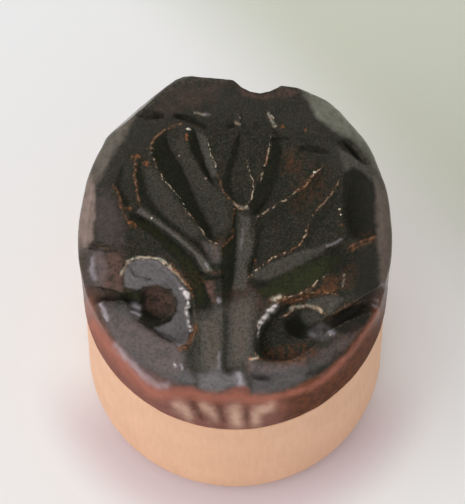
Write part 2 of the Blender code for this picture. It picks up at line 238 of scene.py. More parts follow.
# The field of the face that the leaves and the stem are cut in, as (right, up) in face units
FIELD = [
    (-7.9, 3.8), (-7.3, 5.4), (-6.7, 6.0), (-5.8, 6.2), (-5.3, 6.8), (-4.6, 7.5), (-3.5, 7.9), (-2.5, 7.7),
    (-1.6, 7.2), (-0.4, 7.6), (0.4, 7.7), (1.3, 7.9), (2.1, 7.1), (3.4, 6.8), (4.0, 6.0), (5.2, 5.8),
    (6.2, 5.5), (7.0, 4.3), (6.9, 3.0), (6.9, 1.4), (7.3, 0.3), (7.5, -0.6), (7.1, -2.1), (6.2, -2.6),
    (5.1, -2.8), (4.4, -3.2), (3.4, -3.6), (2.3, -3.8), (1.5, -4.8), (1.3, -6.0), (1.2, -7.2), (0.4, -8.2),
    (-0.4, -8.8), (-2.0, -8.7), (-3.1, -8.3), (-2.9, -7.4), (-3.2, -6.8), (-2.9, -6.1), (-2.75, -5.3),
    (-2.8, -4.5), (-2.85, -3.6), (-3.0, -2.9), (-3.6, -2.1), (-4.2, -1.35), (-4.9, -0.9), (-6.6, -0.8),
    (-7.1, 0.8), (-7.2, 2.2),
]
FIELD_BLEND = 0.22

# Leaves and stem: the left or lower edge, the valley and the right or upper edge, the depth in mm
# and how dark the painted shade on the left wall is
LEAVES = [
    (
        [(-7.2, 5.2), (-7.7, 4.5), (-7.9, 3.7), (-7.5, 3.0), (-7.1, 2.4), (-6.9, 2.1)],
        [(-7.2, 5.2), (-7.3, 4.5), (-7.4, 3.7), (-7.1, 3.0), (-6.9, 2.5), (-6.9, 2.1)],
        [(-7.2, 5.2), (-6.7, 5.2), (-6.5, 4.2), (-6.35, 3.3), (-6.4, 2.5), (-6.9, 2.1)],
        0.20, 0.6,
    ),
    (
        [(-6.1, 5.6), (-6.45, 5.0), (-6.4, 4.2), (-6.25, 3.3), (-6.0, 2.6), (-5.2, 1.8), (-4.3, 1.1),
         (-3.4, 0.45), (-2.6, -0.15), (-1.9, -0.95), (-1.5, -1.5)],
        [(-5.9, 5.5), (-6.05, 5.0), (-5.9, 4.2), (-5.7, 3.3), (-5.3, 2.6), (-4.6, 1.85), (-3.9, 1.2),
         (-3.0, 0.5), (-2.2, -0.1), (-1.6, -0.8), (-1.4, -1.3)],
        [(-5.7, 5.7), (-5.2, 5.3), (-4.6, 4.2), (-4.1, 3.5), (-3.3, 2.3), (-2.6, 1.4), (-1.9, 0.5),
         (-1.5, -0.05), (-1.2, -0.4), (-1.0, -0.9), (-1.2, -1.6)],
        0.22, 0.6,
    ),
    (
        [(-4.5, 7.4), (-5.1, 6.8), (-5.4, 6.2), (-5.2, 5.4), (-4.9, 4.8), (-4.6, 4.3), (-4.1, 3.5),
         (-3.3, 2.35), (-2.6, 1.45), (-1.9, 0.5), (-1.4, 0.0)],
        [(-4.4, 7.3), (-4.4, 6.8), (-4.2, 6.2), (-3.8, 5.6), (-3.35, 4.9), (-3.0, 4.0), (-2.6, 3.0),
         (-2.1, 2.0), (-1.8, 1.3), (-1.45, 0.5), (-1.25, 0.2)],
        [(-4.0, 7.6), (-3.3, 7.6), (-3.0, 7.0), (-2.9, 6.0), (-2.3, 4.9), (-1.8, 4.1), (-1.0, 3.5),
         (-0.4, 2.9), (-0.15, 2.2), (-0.25, 1.0), (-0.7, 0.3), (-1.2, 0.0)],
        0.46, 1.0,
    ),
    (
        [(-2.8, 7.5), (-3.0, 6.8), (-2.9, 5.9), (-2.4, 5.1), (-1.95, 4.3), (-1.5, 3.7)],
        [(-2.6, 7.4), (-2.45, 6.8), (-2.15, 5.9), (-1.9, 5.0), (-1.6, 4.2), (-1.3, 3.7)],
        [(-2.3, 7.4), (-1.85, 7.0), (-1.6, 6.0), (-1.4, 5.2), (-1.15, 4.5), (-0.95, 3.8), (-1.0, 3.4)],
        0.34, 0.9,
    ),
    (
        [(0.3, 7.3), (0.0, 6.8), (-0.15, 6.3), (-0.35, 5.7), (-0.6, 4.9), (-0.85, 4.1), (-0.85, 3.5),
         (-0.5, 3.1), (0.0, 2.55)],
        [(0.4, 7.2), (0.25, 6.7), (0.15, 6.2), (0.0, 5.6), (-0.25, 4.7), (-0.35, 4.0), (-0.2, 3.3),
         (0.0, 3.0), (0.15, 2.7)],
        [(0.6, 7.2), (0.9, 6.4), (0.85, 5.2), (1.05, 4.6), (1.15, 4.1), (1.15, 3.5), (1.0, 2.9),
         (0.7, 2.3), (0.3, 2.5)],
        0.32, 0.5,
    ),
    (
        [(2.4, 6.9), (2.4, 6.4), (2.15, 5.8), (2.0, 5.2), (1.7, 4.6), (1.45, 4.0), (1.25, 3.3),
         (1.0, 2.6), (1.0, 2.0)],
        [(2.8, 6.8), (3.0, 6.0), (2.9, 5.2), (2.7, 4.3), (2.35, 3.3), (1.95, 2.6), (1.5, 2.1), (1.2, 1.8)],
        [(3.3, 6.6), (4.4, 6.1), (5.1, 5.4), (5.0, 4.5), (4.3, 3.6), (3.4, 2.9), (2.3, 2.1), (1.5, 1.75)],
        0.42, 0.8,
    ),
    (
        [(5.2, 5.4), (5.05, 4.5), (4.3, 3.6), (3.4, 2.9), (2.3, 2.1), (1.5, 1.75), (1.25, 1.2),
         (1.25, 0.0), (1.1, -0.8), (0.85, -1.5), (0.8, -2.2)],
        [(5.9, 4.6), (5.2, 3.6), (4.0, 2.5), (2.7, 1.7), (1.8, 1.2), (1.6, 0.9), (1.5, 0.0),
         (1.3, -0.8), (1.05, -1.5), (0.95, -2.1)],
        [(6.6, 4.1), (6.3, 3.3), (5.8, 2.7), (5.2, 2.0), (4.7, 1.2), (4.35, 0.4), (3.9, -0.2), (3.4, -0.6),
         (2.5, -1.0), (1.7, -1.5), (1.0, -2.1)],
        0.25, 0.3,
    ),
    (
        [(6.6, 3.6), (5.9, 2.7), (5.3, 2.0), (4.8, 1.2), (4.5, 0.4), (4.2, -0.1)],
        [(6.6, 3.0), (6.0, 1.9), (5.5, 1.2), (5.1, 0.7), (4.8, 0.2), (4.5, -0.1)],
        [(6.8, 2.4), (6.9, 1.4), (6.9, 0.6), (6.3, 0.2), (5.4, -0.1), (4.8, -0.25)],
        0.17, 0.25,
    ),
    (
        [(0.9, -2.5), (1.4, -3.3), (2.2, -3.6), (2.9, -3.5), (3.8, -3.4), (4.5, -3.1), (5.1, -2.6),
         (5.8, -2.1), (6.8, -2.1), (7.2, -1.2), (7.3, -0.4), (7.1, 0.1)],
        [(1.1, -2.5), (1.8, -2.6), (2.6, -2.2), (3.6, -1.75), (4.3, -1.3), (5.0, -0.95), (6.0, -0.6),
         (6.7, -0.25), (7.0, 0.0)],
        [(0.9, -2.3), (1.7, -1.6), (2.5, -1.15), (3.4, -0.75), (4.2, -0.4), (5.0, -0.3), (6.0, 0.0),
         (6.9, 0.3)],
        0.42, 0.3,
    ),
    (
        [(-6.9, 1.4), (-6.4, 1.2), (-5.6, 0.6), (-4.9, 0.1), (-4.3, -0.6), (-3.6, -1.3), (-3.2, -2.2),
         (-2.85, -2.9), (-2.7, -3.6), (-2.6, -4.6), (-2.3, -5.0)],
        [(-6.8, 1.75), (-6.4, 1.85), (-5.3, 1.15), (-4.4, 0.45), (-3.5, -0.25), (-2.9, -0.8), (-2.4, -1.5),
         (-2.2, -2.1), (-1.9, -2.8), (-1.6, -3.6), (-1.5, -4.3), (-1.8, -4.9)],
        [(-6.8, 2.1), (-6.15, 2.4), (-5.2, 1.75), (-4.3, 1.05), (-3.4, 0.4), (-2.6, -0.2), (-2.0, -0.9),
         (-1.7, -1.4), (-1.2, -1.95), (-1.0, -2.6), (-0.95, -3.6), (-1.0, -4.4), (-1.4, -4.9)],
        0.44, 0.5,
    ),
    (
        [(-0.1, 2.4), (-0.2, 1.0), (-0.55, 0.4), (-0.85, -0.3), (-0.95, -1.5), (-0.85, -2.5), (-0.8, -3.3),
         (-0.8, -4.5), (-0.85, -6.0), (-0.95, -7.5), (-0.8, -8.4)],
        [(0.15, 2.3), (0.15, 1.0), (0.15, 0.0), (0.0, -1.0), (-0.1, -2.0), (-0.15, -3.0), (-0.4, -4.5),
         (-0.5, -6.0), (-0.55, -7.5), (-0.45, -8.3)],
        [(0.7, 2.25), (1.0, 1.6), (1.25, 1.1), (1.25, 0.0), (1.1, -0.8), (0.85, -1.5), (0.8, -2.3),
         (0.85, -3.3), (1.0, -4.5), (1.0, -6.0), (0.8, -7.3), (0.0, -8.2)],
        0.42, 1.0,
    ),
    (
        [(-2.5, -5.2), (-2.6, -6.2), (-2.9, -7.2), (-3.0, -8.1), (-2.4, -8.6)],
        [(-2.2, -5.4), (-2.2, -6.4), (-2.2, -7.4), (-2.1, -8.2), (-2.1, -8.5)],
        [(-2.0, -5.2), (-1.7, -6.2), (-1.4, -7.2), (-1.4, -8.1), (-1.8, -8.6)],
        0.24, 0.5,
    ),
]
TIP_REACH = 0.8

# Patina and painted light and shade of each kind: how strong, how soft its edge is (face units), and its
# outline
PATINA_AND_PAINTED_LIGHT = {
    # Painted reflection of the window on the lower front facets and the right eye, and partly a pale bloom in
    # the left eye
    "frost": [
        (1.0, 0.10, [
            (-6.9, -1.2), (-6.2, -1.0), (-5.0, -1.05), (-4.3, -1.6), (-3.6, -2.4), (-3.2, -3.0), (-3.1, -4.0),
            (-2.9, -5.4), (-3.0, -6.4), (-3.6, -6.75), (-4.1, -6.2), (-4.9, -5.75), (-5.3, -5.45),
            (-4.2, -5.0), (-3.7, -4.4), (-3.7, -3.6), (-4.1, -2.9), (-5.0, -2.6), (-5.9, -2.75), (-6.2, -3.0),
            (-7.1, -2.8), (-7.1, -1.9),
        ]),
        (0.32, 0.15, [(4.6, -5.6), (5.6, -5.1), (6.4, -5.4), (6.3, -6.1), (5.6, -6.3), (4.9, -6.0)]),
        (0.9, 0.35, [
            (-2.4, -8.6), (-1.2, -7.8), (-0.6, -8.5), (0.6, -8.4), (0.7, -9.2), (-0.5, -9.4), (-1.5, -9.7),
            (-2.4, -9.2),
        ]),
        (0.5, 0.4, [
            (-8.6, -3.9), (-7.0, -4.1), (-6.3, -5.1), (-3.9, -6.4), (-3.2, -7.1), (-3.3, -8.2), (-2.6, -8.6),
            (-2.8, -9.1), (-4.4, -9.0), (-6.2, -7.9), (-7.8, -6.2),
        ]),
        (0.62, 0.3, [
            (-7.4, -6.6), (-6.0, -7.3), (-4.6, -7.9), (-3.0, -8.2), (-2.5, -8.9), (-4.4, -9.1), (-6.2, -8.1),
        ]),
        (0.35, 0.3, [(-9.5, -0.3), (-8.4, -0.5), (-8.3, -2.7), (-9.6, -2.6)]),
        (0.5, 0.5, [(0.9, -7.6), (3.0, -7.8), (4.8, -8.0), (4.6, -9.0), (2.2, -9.8), (1.0, -9.6)]),
        (0.3, 0.3, [(4.6, -7.9), (6.4, -6.4), (7.6, -5.9), (6.2, -7.6), (4.8, -8.4)]),
        (0.5, 0.4, [(1.0, -8.8), (4.2, -8.2), (4.2, -9.2), (2.2, -9.8), (1.1, -9.8)]),
        (0.25, 0.3, [(-9.0, 2.9), (-8.2, 3.3), (-7.2, 1.6), (-7.0, 0.0), (-8.0, -0.1), (-9.0, 0.2)]),
        (0.35, 0.2, [(-2.1, 0.1), (-1.0, -0.2), (-0.9, -1.2), (-1.6, -1.3)]),
    ],
    "blush": [
        (0.75, 0.5, [
            (-9.3, -0.4), (-7.1, -0.6), (-7.0, -3.0), (-8.4, -4.2), (-6.4, -5.0), (-3.8, -6.5), (-3.2, -8.0),
            (-4.5, -8.6), (-7.6, -6.0), (-9.2, -4.0),
        ]),
        (0.3, 0.5, [
            (-5.6, 8.4), (-3.9, 9.8), (-2.5, 10.4), (-0.8, 10.2), (-1.6, 9.3), (-3.0, 8.9), (-4.5, 8.3),
        ]),
        (0.5, 0.2, [
            (0.2, 10.2), (1.0, 9.8), (2.0, 9.7), (3.4, 10.1), (4.1, 10.1), (3.6, 9.5), (2.0, 9.35),
            (0.5, 9.6),
        ]),
        (0.45, 0.3, [(-2.0, -5.1), (-1.0, -4.9), (-0.9, -6.0), (-1.0, -8.0), (-1.7, -8.3), (-1.9, -6.8)]),
        (0.5, 0.3, [(-0.1, -4.4), (0.8, -4.6), (0.7, -6.6), (0.4, -7.6), (-0.1, -7.4), (-0.1, -6.0)]),
        (1.0, 0.12, [(-1.95, -2.4), (-1.35, -2.4), (-1.2, -3.9), (-1.5, -3.7), (-1.8, -2.9)]),
        (0.7, 0.4, [(-6.0, -2.9), (-4.9, -2.7), (-3.9, -3.4), (-3.9, -4.4), (-4.8, -4.7), (-5.7, -4.2)]),
        (0.3, 0.6, [(-0.4, -3.0), (1.2, -2.6), (2.4, -3.9), (1.4, -4.9), (-0.6, -4.6)]),
        (0.5, 0.3, [
            (4.0, -7.2), (5.4, -6.9), (6.8, -6.0), (8.0, -5.2), (8.5, -5.6), (7.4, -6.8), (6.0, -7.5),
            (4.6, -7.7),
        ]),
        (0.9, 0.3, [(0.6, -7.6), (3.0, -7.7), (4.8, -7.3), (4.6, -7.9), (3.0, -8.2), (0.8, -8.4)]),
        (0.35, 0.5, [(-9.0, 2.8), (-8.0, 3.4), (-7.1, 1.6), (-6.9, 0.0), (-8.0, -0.2), (-9.0, 0.2)]),
    ],
    "rusty": [
        (0.6, 0.3, [(8.0, 0.3), (8.8, 0.5), (8.8, 0.8), (8.0, 0.6)]),
        (0.4, 0.4, [(-3.4, -1.7), (-2.4, -1.9), (-1.9, -2.4), (-2.7, -2.9), (-3.0, -2.6)]),
        (0.4, 0.4, [(-1.9, -0.2), (-0.7, 0.1), (-0.8, -0.9), (-1.6, -0.9)]),
    ],
    "umber": [
        (0.9, 0.3, [
            (4.9, -2.9), (5.9, -2.1), (7.0, -2.1), (6.8, -3.0), (5.2, -3.4), (2.5, -3.9), (2.3, -3.5),
            (3.8, -3.5),
        ]),
        (0.8, 0.5, [(3.1, 4.6), (3.3, 5.9), (4.2, 6.0), (4.3, 4.8)]),
        (0.5, 0.7, [(3.8, 2.2), (4.0, 3.6), (5.2, 5.0), (5.9, 4.4), (5.2, 2.6)]),
        (0.5, 0.3, [(7.0, -1.6), (7.6, -1.3), (8.0, -1.9), (7.6, -3.0), (7.0, -3.1)]),
        (1.0, 0.2, [(1.8, -6.7), (4.8, -6.5), (5.4, -7.1), (3.5, -7.6), (1.8, -7.4)]),
    ],
    # Painted shade, olive, on the long leaves' walls and the gutter that face away from the light
    "moss": [
        (0.6, 0.2, [(-9.6, -2.9), (-8.0, -3.0), (-6.2, -3.2), (-6.1, -3.7), (-8.0, -3.6), (-9.4, -3.6)]),
        (0.8, 0.15, [
            (1.4, -3.2), (2.6, -2.3), (4.3, -1.4), (6.0, -0.8), (6.9, -0.9), (6.0, -2.0), (5.0, -2.7),
            (3.8, -3.3), (2.2, -3.5),
        ]),
        (0.6, 0.15, [
            (-6.6, 1.5), (-5.0, 0.4), (-3.8, -0.8), (-3.0, -2.0), (-2.4, -3.2), (-2.3, -4.2), (-1.8, -3.6),
            (-2.2, -2.2), (-2.9, -1.0), (-4.4, 0.4), (-5.6, 1.3),
        ]),
    ],
    # Painted light: the leaves' walls, the trunk and the rims that face the light, greyed
    "ash": [
        (0.35, 0.15, [(4.2, -4.3), (5.3, -4.3), (5.6, -4.9), (4.6, -5.2), (4.2, -4.8)]),
        (0.5, 0.15, [(4.6, -3.6), (6.3, -3.4), (7.0, -3.6), (6.0, -4.7), (5.8, -4.2), (4.8, -3.9)]),
        (0.75, 0.05, [
            (-6.4, 2.05), (-6.1, 2.3), (-5.2, 1.65), (-3.4, 0.3), (-2.0, -1.0), (-1.4, -1.8), (-2.0, -1.85),
            (-2.6, -0.7), (-3.4, -0.0), (-4.35, 0.75), (-5.25, 1.42),
        ]),
        (0.45, 0.12, [
            (0.9, -2.2), (1.7, -1.65), (3.4, -0.8), (5.0, -0.35), (6.9, 0.25), (5.0, -0.9), (3.6, -1.7),
            (2.0, -2.4),
        ]),
        (0.14, 0.2, [
            (-4.2, 6.6), (-3.3, 6.9), (-2.9, 5.9), (-1.9, 4.2), (-0.6, 2.9), (-0.4, 1.2), (-1.3, 0.3),
            (-1.9, 1.6), (-2.7, 3.4), (-3.6, 5.3),
        ]),
        (0.45, 0.12, [(-2.5, 7.3), (-1.9, 6.9), (-1.6, 5.9), (-1.2, 4.4), (-1.5, 4.2), (-2.1, 5.9)]),
        (0.2, 0.2, [
            (-6.0, 4.9), (-5.3, 4.9), (-3.5, 2.3), (-2.2, 0.6), (-2.9, 0.3), (-4.5, 1.7), (-5.6, 3.3),
        ]),
        (0.45, 0.15, [
            (0.1, 2.0), (0.9, 1.7), (1.1, 0.0), (0.7, -1.6), (0.7, -3.0), (-0.1, -3.0), (0.1, -1.0),
        ]),
        (0.6, 0.5, [(-2.6, -4.6), (1.2, -3.4), (1.2, -7.4), (0.2, -8.0), (-2.6, -8.2)]),
        (0.4, 0.15, [
            (6.6, 6.2), (7.7, 5.6), (8.6, 5.1), (9.3, 4.2), (9.6, 2.5), (9.6, 0.2), (9.3, 0.2), (9.25, 2.8),
            (8.9, 4.0), (8.2, 4.7), (7.6, 5.0), (7.0, 4.7),
        ]),
    ],
    # Painted shade: the dark pits of the eyes, the groove to the right rim and the facets turned from the
    # light
    "soot": [
        (0.3, 0.3, [
            (-7.3, -6.9), (-6.0, -7.6), (-4.9, -8.0), (-3.6, -8.6), (-4.5, -9.0), (-5.6, -8.6), (-6.8, -7.4),
        ]),
        (0.35, 0.12, [
            (-9.0, 3.1), (-8.2, 3.5), (-7.3, 2.2), (-7.0, 1.3), (-6.9, 0.4), (-8.0, -0.3), (-9.1, -0.1),
            (-9.2, 0.4),
        ]),
        (0.45, 0.25, [(7.4, -0.6), (9.0, 0.0), (9.2, -3.3), (7.8, -3.4), (7.4, -1.8)]),
        (0.85, 0.12, [
            (7.0, 4.5), (7.6, 4.9), (8.2, 4.6), (8.8, 3.9), (9.15, 2.8), (9.2, 0.6), (8.4, 0.0), (7.3, 0.4),
            (6.9, 2.0), (6.95, 3.6),
        ]),
        (0.9, 0.12, [(6.4, 6.7), (7.4, 6.75), (8.2, 6.05), (9.0, 5.2), (8.5, 5.15), (7.7, 5.65), (6.9, 6.1)]),
        (0.5, 0.4, [(6.0, -0.3), (7.2, -0.1), (7.3, -1.8), (6.0, -1.9)]),
        (0.8, 0.12, [
            (-6.3, -2.9), (-5.7, -3.0), (-5.75, -4.2), (-5.0, -4.75), (-4.2, -4.7), (-4.1, -5.0),
            (-5.0, -5.3), (-5.9, -4.9), (-6.2, -4.0),
        ]),
        (0.9, 0.3, [(3.0, -4.9), (4.2, -4.5), (4.5, -5.4), (4.2, -6.1), (3.3, -6.0)]),
        (0.75, 0.12, [
            (6.0, -5.0), (7.0, -4.2), (8.2, -3.75), (9.1, -3.5), (8.9, -4.3), (8.4, -5.2), (7.6, -5.8),
            (6.9, -5.8), (6.3, -5.5),
        ]),
        (0.7, 0.15, [(-6.3, 8.3), (-5.6, 8.8), (-4.8, 8.4), (-4.9, 8.2)]),
        (0.6, 0.15, [(-3.9, 8.3), (-2.6, 8.3), (-1.9, 7.6), (-3.0, 7.9)]),
    ],
    # Painted reflection of the bright room on the steep bevels round the face
    "haze": [
        (1.0, 0.18, [
            (-9.0, 3.6), (-9.05, 1.8), (-9.2, 0.2), (-9.6, -0.2), (-11.0, 0.0), (-11.0, 5.0), (-9.5, 5.0),
        ]),
        (0.38, 0.25, [(-9.4, 5.2), (-9.0, 3.8), (-7.4, 6.6), (-6.5, 8.2), (-8.0, 9.2), (-10.5, 7.0)]),
        (0.60, 0.25, [
            (4.3, 10.2), (5.2, 8.3), (6.6, 7.2), (7.6, 6.8), (8.6, 5.9), (9.4, 4.9), (10.2, 3.6), (11.5, 5.0),
            (9.0, 9.0), (6.0, 11.0),
        ]),
        (1.0, 0.9, [
            (5.0, 9.8), (6.4, 8.4), (7.8, 7.2), (9.0, 5.8), (10.1, 4.0), (12.5, 5.0), (9.0, 10.0),
            (6.0, 12.0),
        ]),
        (0.46, 0.20, [
            (8.95, 4.4), (9.1, 2.3), (9.15, 0.3), (9.35, -1.5), (9.3, -3.4), (12.0, -3.4), (12.0, 4.0),
            (9.9, 3.9),
        ]),
    ],
}

# Strokes of each kind, some of them painted highlight or painted shade: how strong, half width in mm, and
# points (right, up) in face units
STROKES = {
    "glint": [
        (0.45, 0.17, [
            (-7.7, -6.5), (-7.0, -7.3), (-6.5, -7.8), (-6.0, -8.35), (-5.5, -8.75), (-5.0, -9.0),
            (-4.4, -9.1),
        ]),
        (0.4, 0.13, [(-9.2, -0.9), (-9.25, -1.6), (-9.1, -2.2)]),
        (0.6, 0.11, [(-8.6, -3.9), (-8.4, -4.4), (-8.2, -4.9)]),
        (0.7, 0.16, [(-6.5, -3.95), (-6.2, -4.1)]),
        (0.7, 0.12, [(-6.5, -4.45), (-6.2, -4.6)]),
        (0.7, 0.07, [(-3.9, -7.75), (-3.8, -7.9)]),
        (0.6, 0.07, [(-3.45, -7.8), (-3.4, -8.1)]),
        (0.6, 0.18, [(0.25, -8.45), (0.4, -9.0)]),
        (0.3, 0.10, [(-1.0, -7.0), (-1.0, -8.0)]),
        (0.5, 0.10, [(-1.05, -3.6), (-1.0, -3.8)]),
        (0.35, 0.06, [(5.9, -0.2), (6.5, 0.05), (6.9, 0.25)]),
        (0.2, 0.08, [(-2.0, 8.4), (-1.6, 8.3)]),
        (0.45, 0.06, [(-1.9, -1.3), (-1.7, -1.7)]),
        (0.18, 0.08, [(0.45, 0.9), (0.4, -0.4)]),
        (0.4, 0.14, [(6.1, -5.7), (6.3, -5.8)]),
        (0.3, 0.12, [(4.9, -5.8), (5.1, -5.9)]),
        (0.5, 0.10, [(9.1, -3.6), (9.15, -4.0)]),
    ],
    # The rim's own red with a painted highlight along its lit edge
    "salmon": [
        (0.5, 0.40, [(-9.6, -3.6), (-9.2, -4.9), (-8.9, -5.4)]),
        (0.95, 0.32, [
            (-9.2, -4.9), (-8.9, -5.4), (-8.4, -6.1), (-7.9, -6.75), (-7.4, -7.4), (-6.8, -8.1), (-6.2, -8.7),
            (-5.5, -9.3), (-4.8, -9.6),
        ]),
        (0.8, 0.30, [
            (-4.8, -9.55), (-4.0, -9.6), (-3.0, -9.65), (-2.0, -9.8), (-1.0, -9.9), (0.0, -9.8), (1.0, -10.0),
            (2.0, -9.95),
        ]),
        (0.9, 0.18, [(2.0, -9.95), (3.0, -9.75), (4.0, -9.45), (5.0, -9.1), (6.0, -8.4), (7.0, -7.4)]),
        (0.7, 0.13, [(7.0, -7.4), (7.5, -6.9), (8.0, -6.25), (8.5, -5.55), (9.0, -4.75), (9.3, -4.2)]),
        (0.4, 0.25, [(2.6, -10.3), (3.2, -10.35)]),
    ],
    "bar": [
        (0.8, 0.30, [(-3.75, -10.2), (-3.3, -10.5), (-2.95, -10.85)]),
        (0.8, 0.28, [(-2.0, -10.3), (-1.6, -10.6), (-1.35, -10.95)]),
        (1.0, 0.42, [(0.0, -10.6), (0.1, -11.25)]),
        (0.9, 0.34, [(1.35, -11.15), (1.45, -10.65), (2.3, -10.35)]),
    ],
    # Painted shade in the short front cuts, the cracks, the gutter and under the steps
    "ink": [
        (0.8, 0.15, [(-2.7, -10.1), (-2.4, -10.5), (-2.2, -10.95)]),
        (0.8, 0.22, [(-1.15, -10.15), (-0.95, -10.5), (-0.75, -11.1)]),
        (0.8, 0.18, [(0.75, -10.5), (0.8, -11.15)]),
        (0.7, 0.10, [(-0.3, -10.22), (1.8, -10.2)]),
        (0.8, 0.08, [(-6.2, -5.0), (-5.5, -5.4), (-5.0, -5.65), (-3.9, -6.1)]),
        (0.95, 0.18, [(-9.9, -3.0), (-9.0, -3.6), (-8.0, -3.4), (-7.0, -3.5), (-6.2, -3.8)]),
        (1.0, 0.10, [(-2.2, -1.9), (-1.9, -2.15), (-1.5, -2.3), (-1.1, -2.25), (-0.8, -2.15)]),
        (0.4, 0.13, [(-0.65, -4.6), (-0.6, -6.0), (-0.7, -7.6), (-0.4, -8.4)]),
        (0.85, 0.13, [(-3.9, 8.3), (-3.0, 8.2), (-2.3, 7.8), (-1.9, 7.6)]),
        (0.8, 0.13, [(4.2, 6.15), (4.7, 6.3), (5.2, 6.2), (6.0, 6.0)]),
        (0.6, 0.12, [(2.4, 6.8), (3.4, 6.8)]),
        (0.6, 0.22, [(1.2, -8.55), (2.2, -8.65)]),
        (0.6, 0.13, [(4.6, -8.4), (5.4, -8.2), (6.5, -7.4)]),
        (0.8, 0.12, [(-6.2, 8.3), (-5.5, 8.7), (-4.9, 8.4)]),
        (0.7, 0.06, [(-9.2, -0.15), (-8.6, -0.45), (-7.6, -0.5)]),
        (0.6, 0.05, [(-8.9, 2.8), (-9.1, 1.5), (-9.2, 0.0)]),
        (0.9, 0.06, [(-6.9, -1.4), (-6.4, -2.05), (-5.9, -2.25), (-5.4, -2.25)]),
    ],
    "white": [
        (1.0, 0.095, [
            (-3.45, -2.85), (-3.05, -3.3), (-3.05, -3.9), (-3.15, -4.25), (-3.0, -5.0), (-2.85, -5.5),
        ]),
        (1.0, 0.12, [(2.6, -4.05), (2.2, -4.4), (1.9, -4.8), (1.6, -5.15)]),
        (0.6, 0.05, [(1.55, -5.3), (1.45, -6.0)]),
    ],
    "cream": [
        (0.8, 0.06, [(-6.9, -1.15), (-6.5, -0.95), (-6.0, -0.88), (-5.3, -0.93), (-4.8, -1.0), (-4.4, -1.3)]),
        (0.4, 0.05, [(-4.4, -1.3), (-4.0, -1.7), (-3.5, -2.3), (-3.2, -2.7)]),
        (0.45, 0.07, [(-6.9, -1.3), (-7.3, -2.0)]),
        (0.2, 0.05, [(0.0, 2.55), (0.3, 2.35), (0.75, 2.25)]),
        (0.7, 0.10, [(2.45, -3.6), (2.95, -3.45)]),
        (0.5, 0.08, [(3.6, -4.15), (4.0, -4.0), (4.6, -3.98), (5.2, -4.1), (5.6, -4.4)]),
        (0.5, 0.10, [(1.0, -7.55), (1.4, -7.35)]),
        (0.25, 0.04, [(7.0, -2.0), (6.9, -2.9)]),
        (0.35, 0.08, [(2.15, 8.4), (2.3, 7.9), (2.6, 7.6)]),
        (0.35, 0.08, [(0.05, 7.9), (0.3, 7.7)]),
        (0.3, 0.06, [(-2.6, 8.5), (-1.9, 8.3)]),
    ],
    "tawny": [
        (0.8, 0.10, [(-4.2, -1.4), (-3.6, -2.1), (-3.0, -2.75), (-2.75, -3.4)]),
        (0.8, 0.16, [(-2.55, -5.35), (-2.7, -5.8), (-2.95, -6.3), (-3.2, -6.7), (-3.6, -6.85)]),
        (0.6, 0.12, [(2.3, -3.65), (3.5, -3.7), (4.5, -3.4), (5.4, -3.1), (6.3, -3.05)]),
        (0.25, 0.10, [(6.0, -4.85), (7.2, -4.0), (8.2, -3.6)]),
        (0.45, 0.10, [(1.5, -7.45), (2.6, -7.6), (3.6, -7.6), (4.4, -7.45)]),
        (0.4, 0.05, [(-1.9, -1.75), (-1.5, -1.9), (-0.9, -1.85)]),
        (0.5, 0.12, [(7.5, -0.35), (8.4, 0.0), (9.0, 0.35)]),
    ],
}

# In face units: length of the white strokes' teeth, where the front ends, and the red's edge and fade
SERRATION = 0.36
FRONT_END = -3.4
SIDE_SOFT = 0.16
SIDE_WANDER = 0.06
RED_BEGINS = 2.0
RED_FADE = 7.5
RED_BROAD_WANDER, RED_LUMP_WANDER = 0.8, 0.4

# In face units: from where, and over how far, the rim is planed and the brown of the back shows
PLANED_FROM, PLANED_OVER = 7.2, 1.6
BACK_FROM, BACK_OVER, BACK_WANDER = -4.6, 2.4, 0.8

# In face units: how far under the face's plane the leaves' cuts have ended
FIELD_FLOOR = -3

# Slope, from 1 on the face to 0 on an upright side: where the face's marks end and the steep rim begins
FACING_FROM, FACING_OVER = 0.55, 0.25
STEEP_FROM, STEEP_OVER = 0.50, 0.22

# Way down the side, from 0 at the rim to 1 at the foot: where a change begins, and over how far
MARKS_FADE_FROM, MARKS_FADE_OVER = 0.05, 0.45
RED_DOWN_FROM, RED_DOWN_OVER = 0.06, 0.3
BACK_DOWN_FROM, BACK_DOWN_OVER = 0.1, 0.2
OUTLINES_SOFTEN_OVER = 0.3

# In face units: how much softer the edges of the patina and of the painted light and shade are there, and the
# softness from which they wander fully
OUTLINES_SOFTEN_BY = 1.2
WANDERS_FULLY_FROM = 0.3

# In mm: an arris's reach, the most that its distance is kept as, and the distance before any is found
ARRIS_REACH = 0.2
ARRIS_LIMIT = 0.5
FAR_OFF = 9.0

# In reaches: where the colour of an arris has ended
ARRIS_ENDS = 1.6

# In face units: how far the lines and the edges of the patina and of the painted light and shade wander
LINE_WANDER = 0.10
FINE_WANDER = 0.12
LUMP_WANDER = 0.2

# In mm: the height of the uneven surface
BROAD_LIFT, LUMP_LIFT, FINE_LIFT = 0.030, 0.018, 0.010

# Mean and swing of what varies along a mark: an arris's height, a crack's depth, a tooth and a stroke
BEADS, BEADS_RANGE = (0.75, 0.9), (0.15, 1.2)
CRACKING = (0.8, 0.5)
TOOTHING = (0.75, 0.6)
STROKING = (0.9, 0.4)

# Passes of the means that sharp edges and broad hollows are told from
SHARP_PASSES = 4
SWELL_PASSES = 30

# Noise over the head, in the order of its seeds: size of the lumps in mm
WAVE_SIZES = {"broad": 2.4, "lumps": 0.7, "fine": 0.28, "breakup": 0.22, "wander": 0.3, "beads": 0.33}

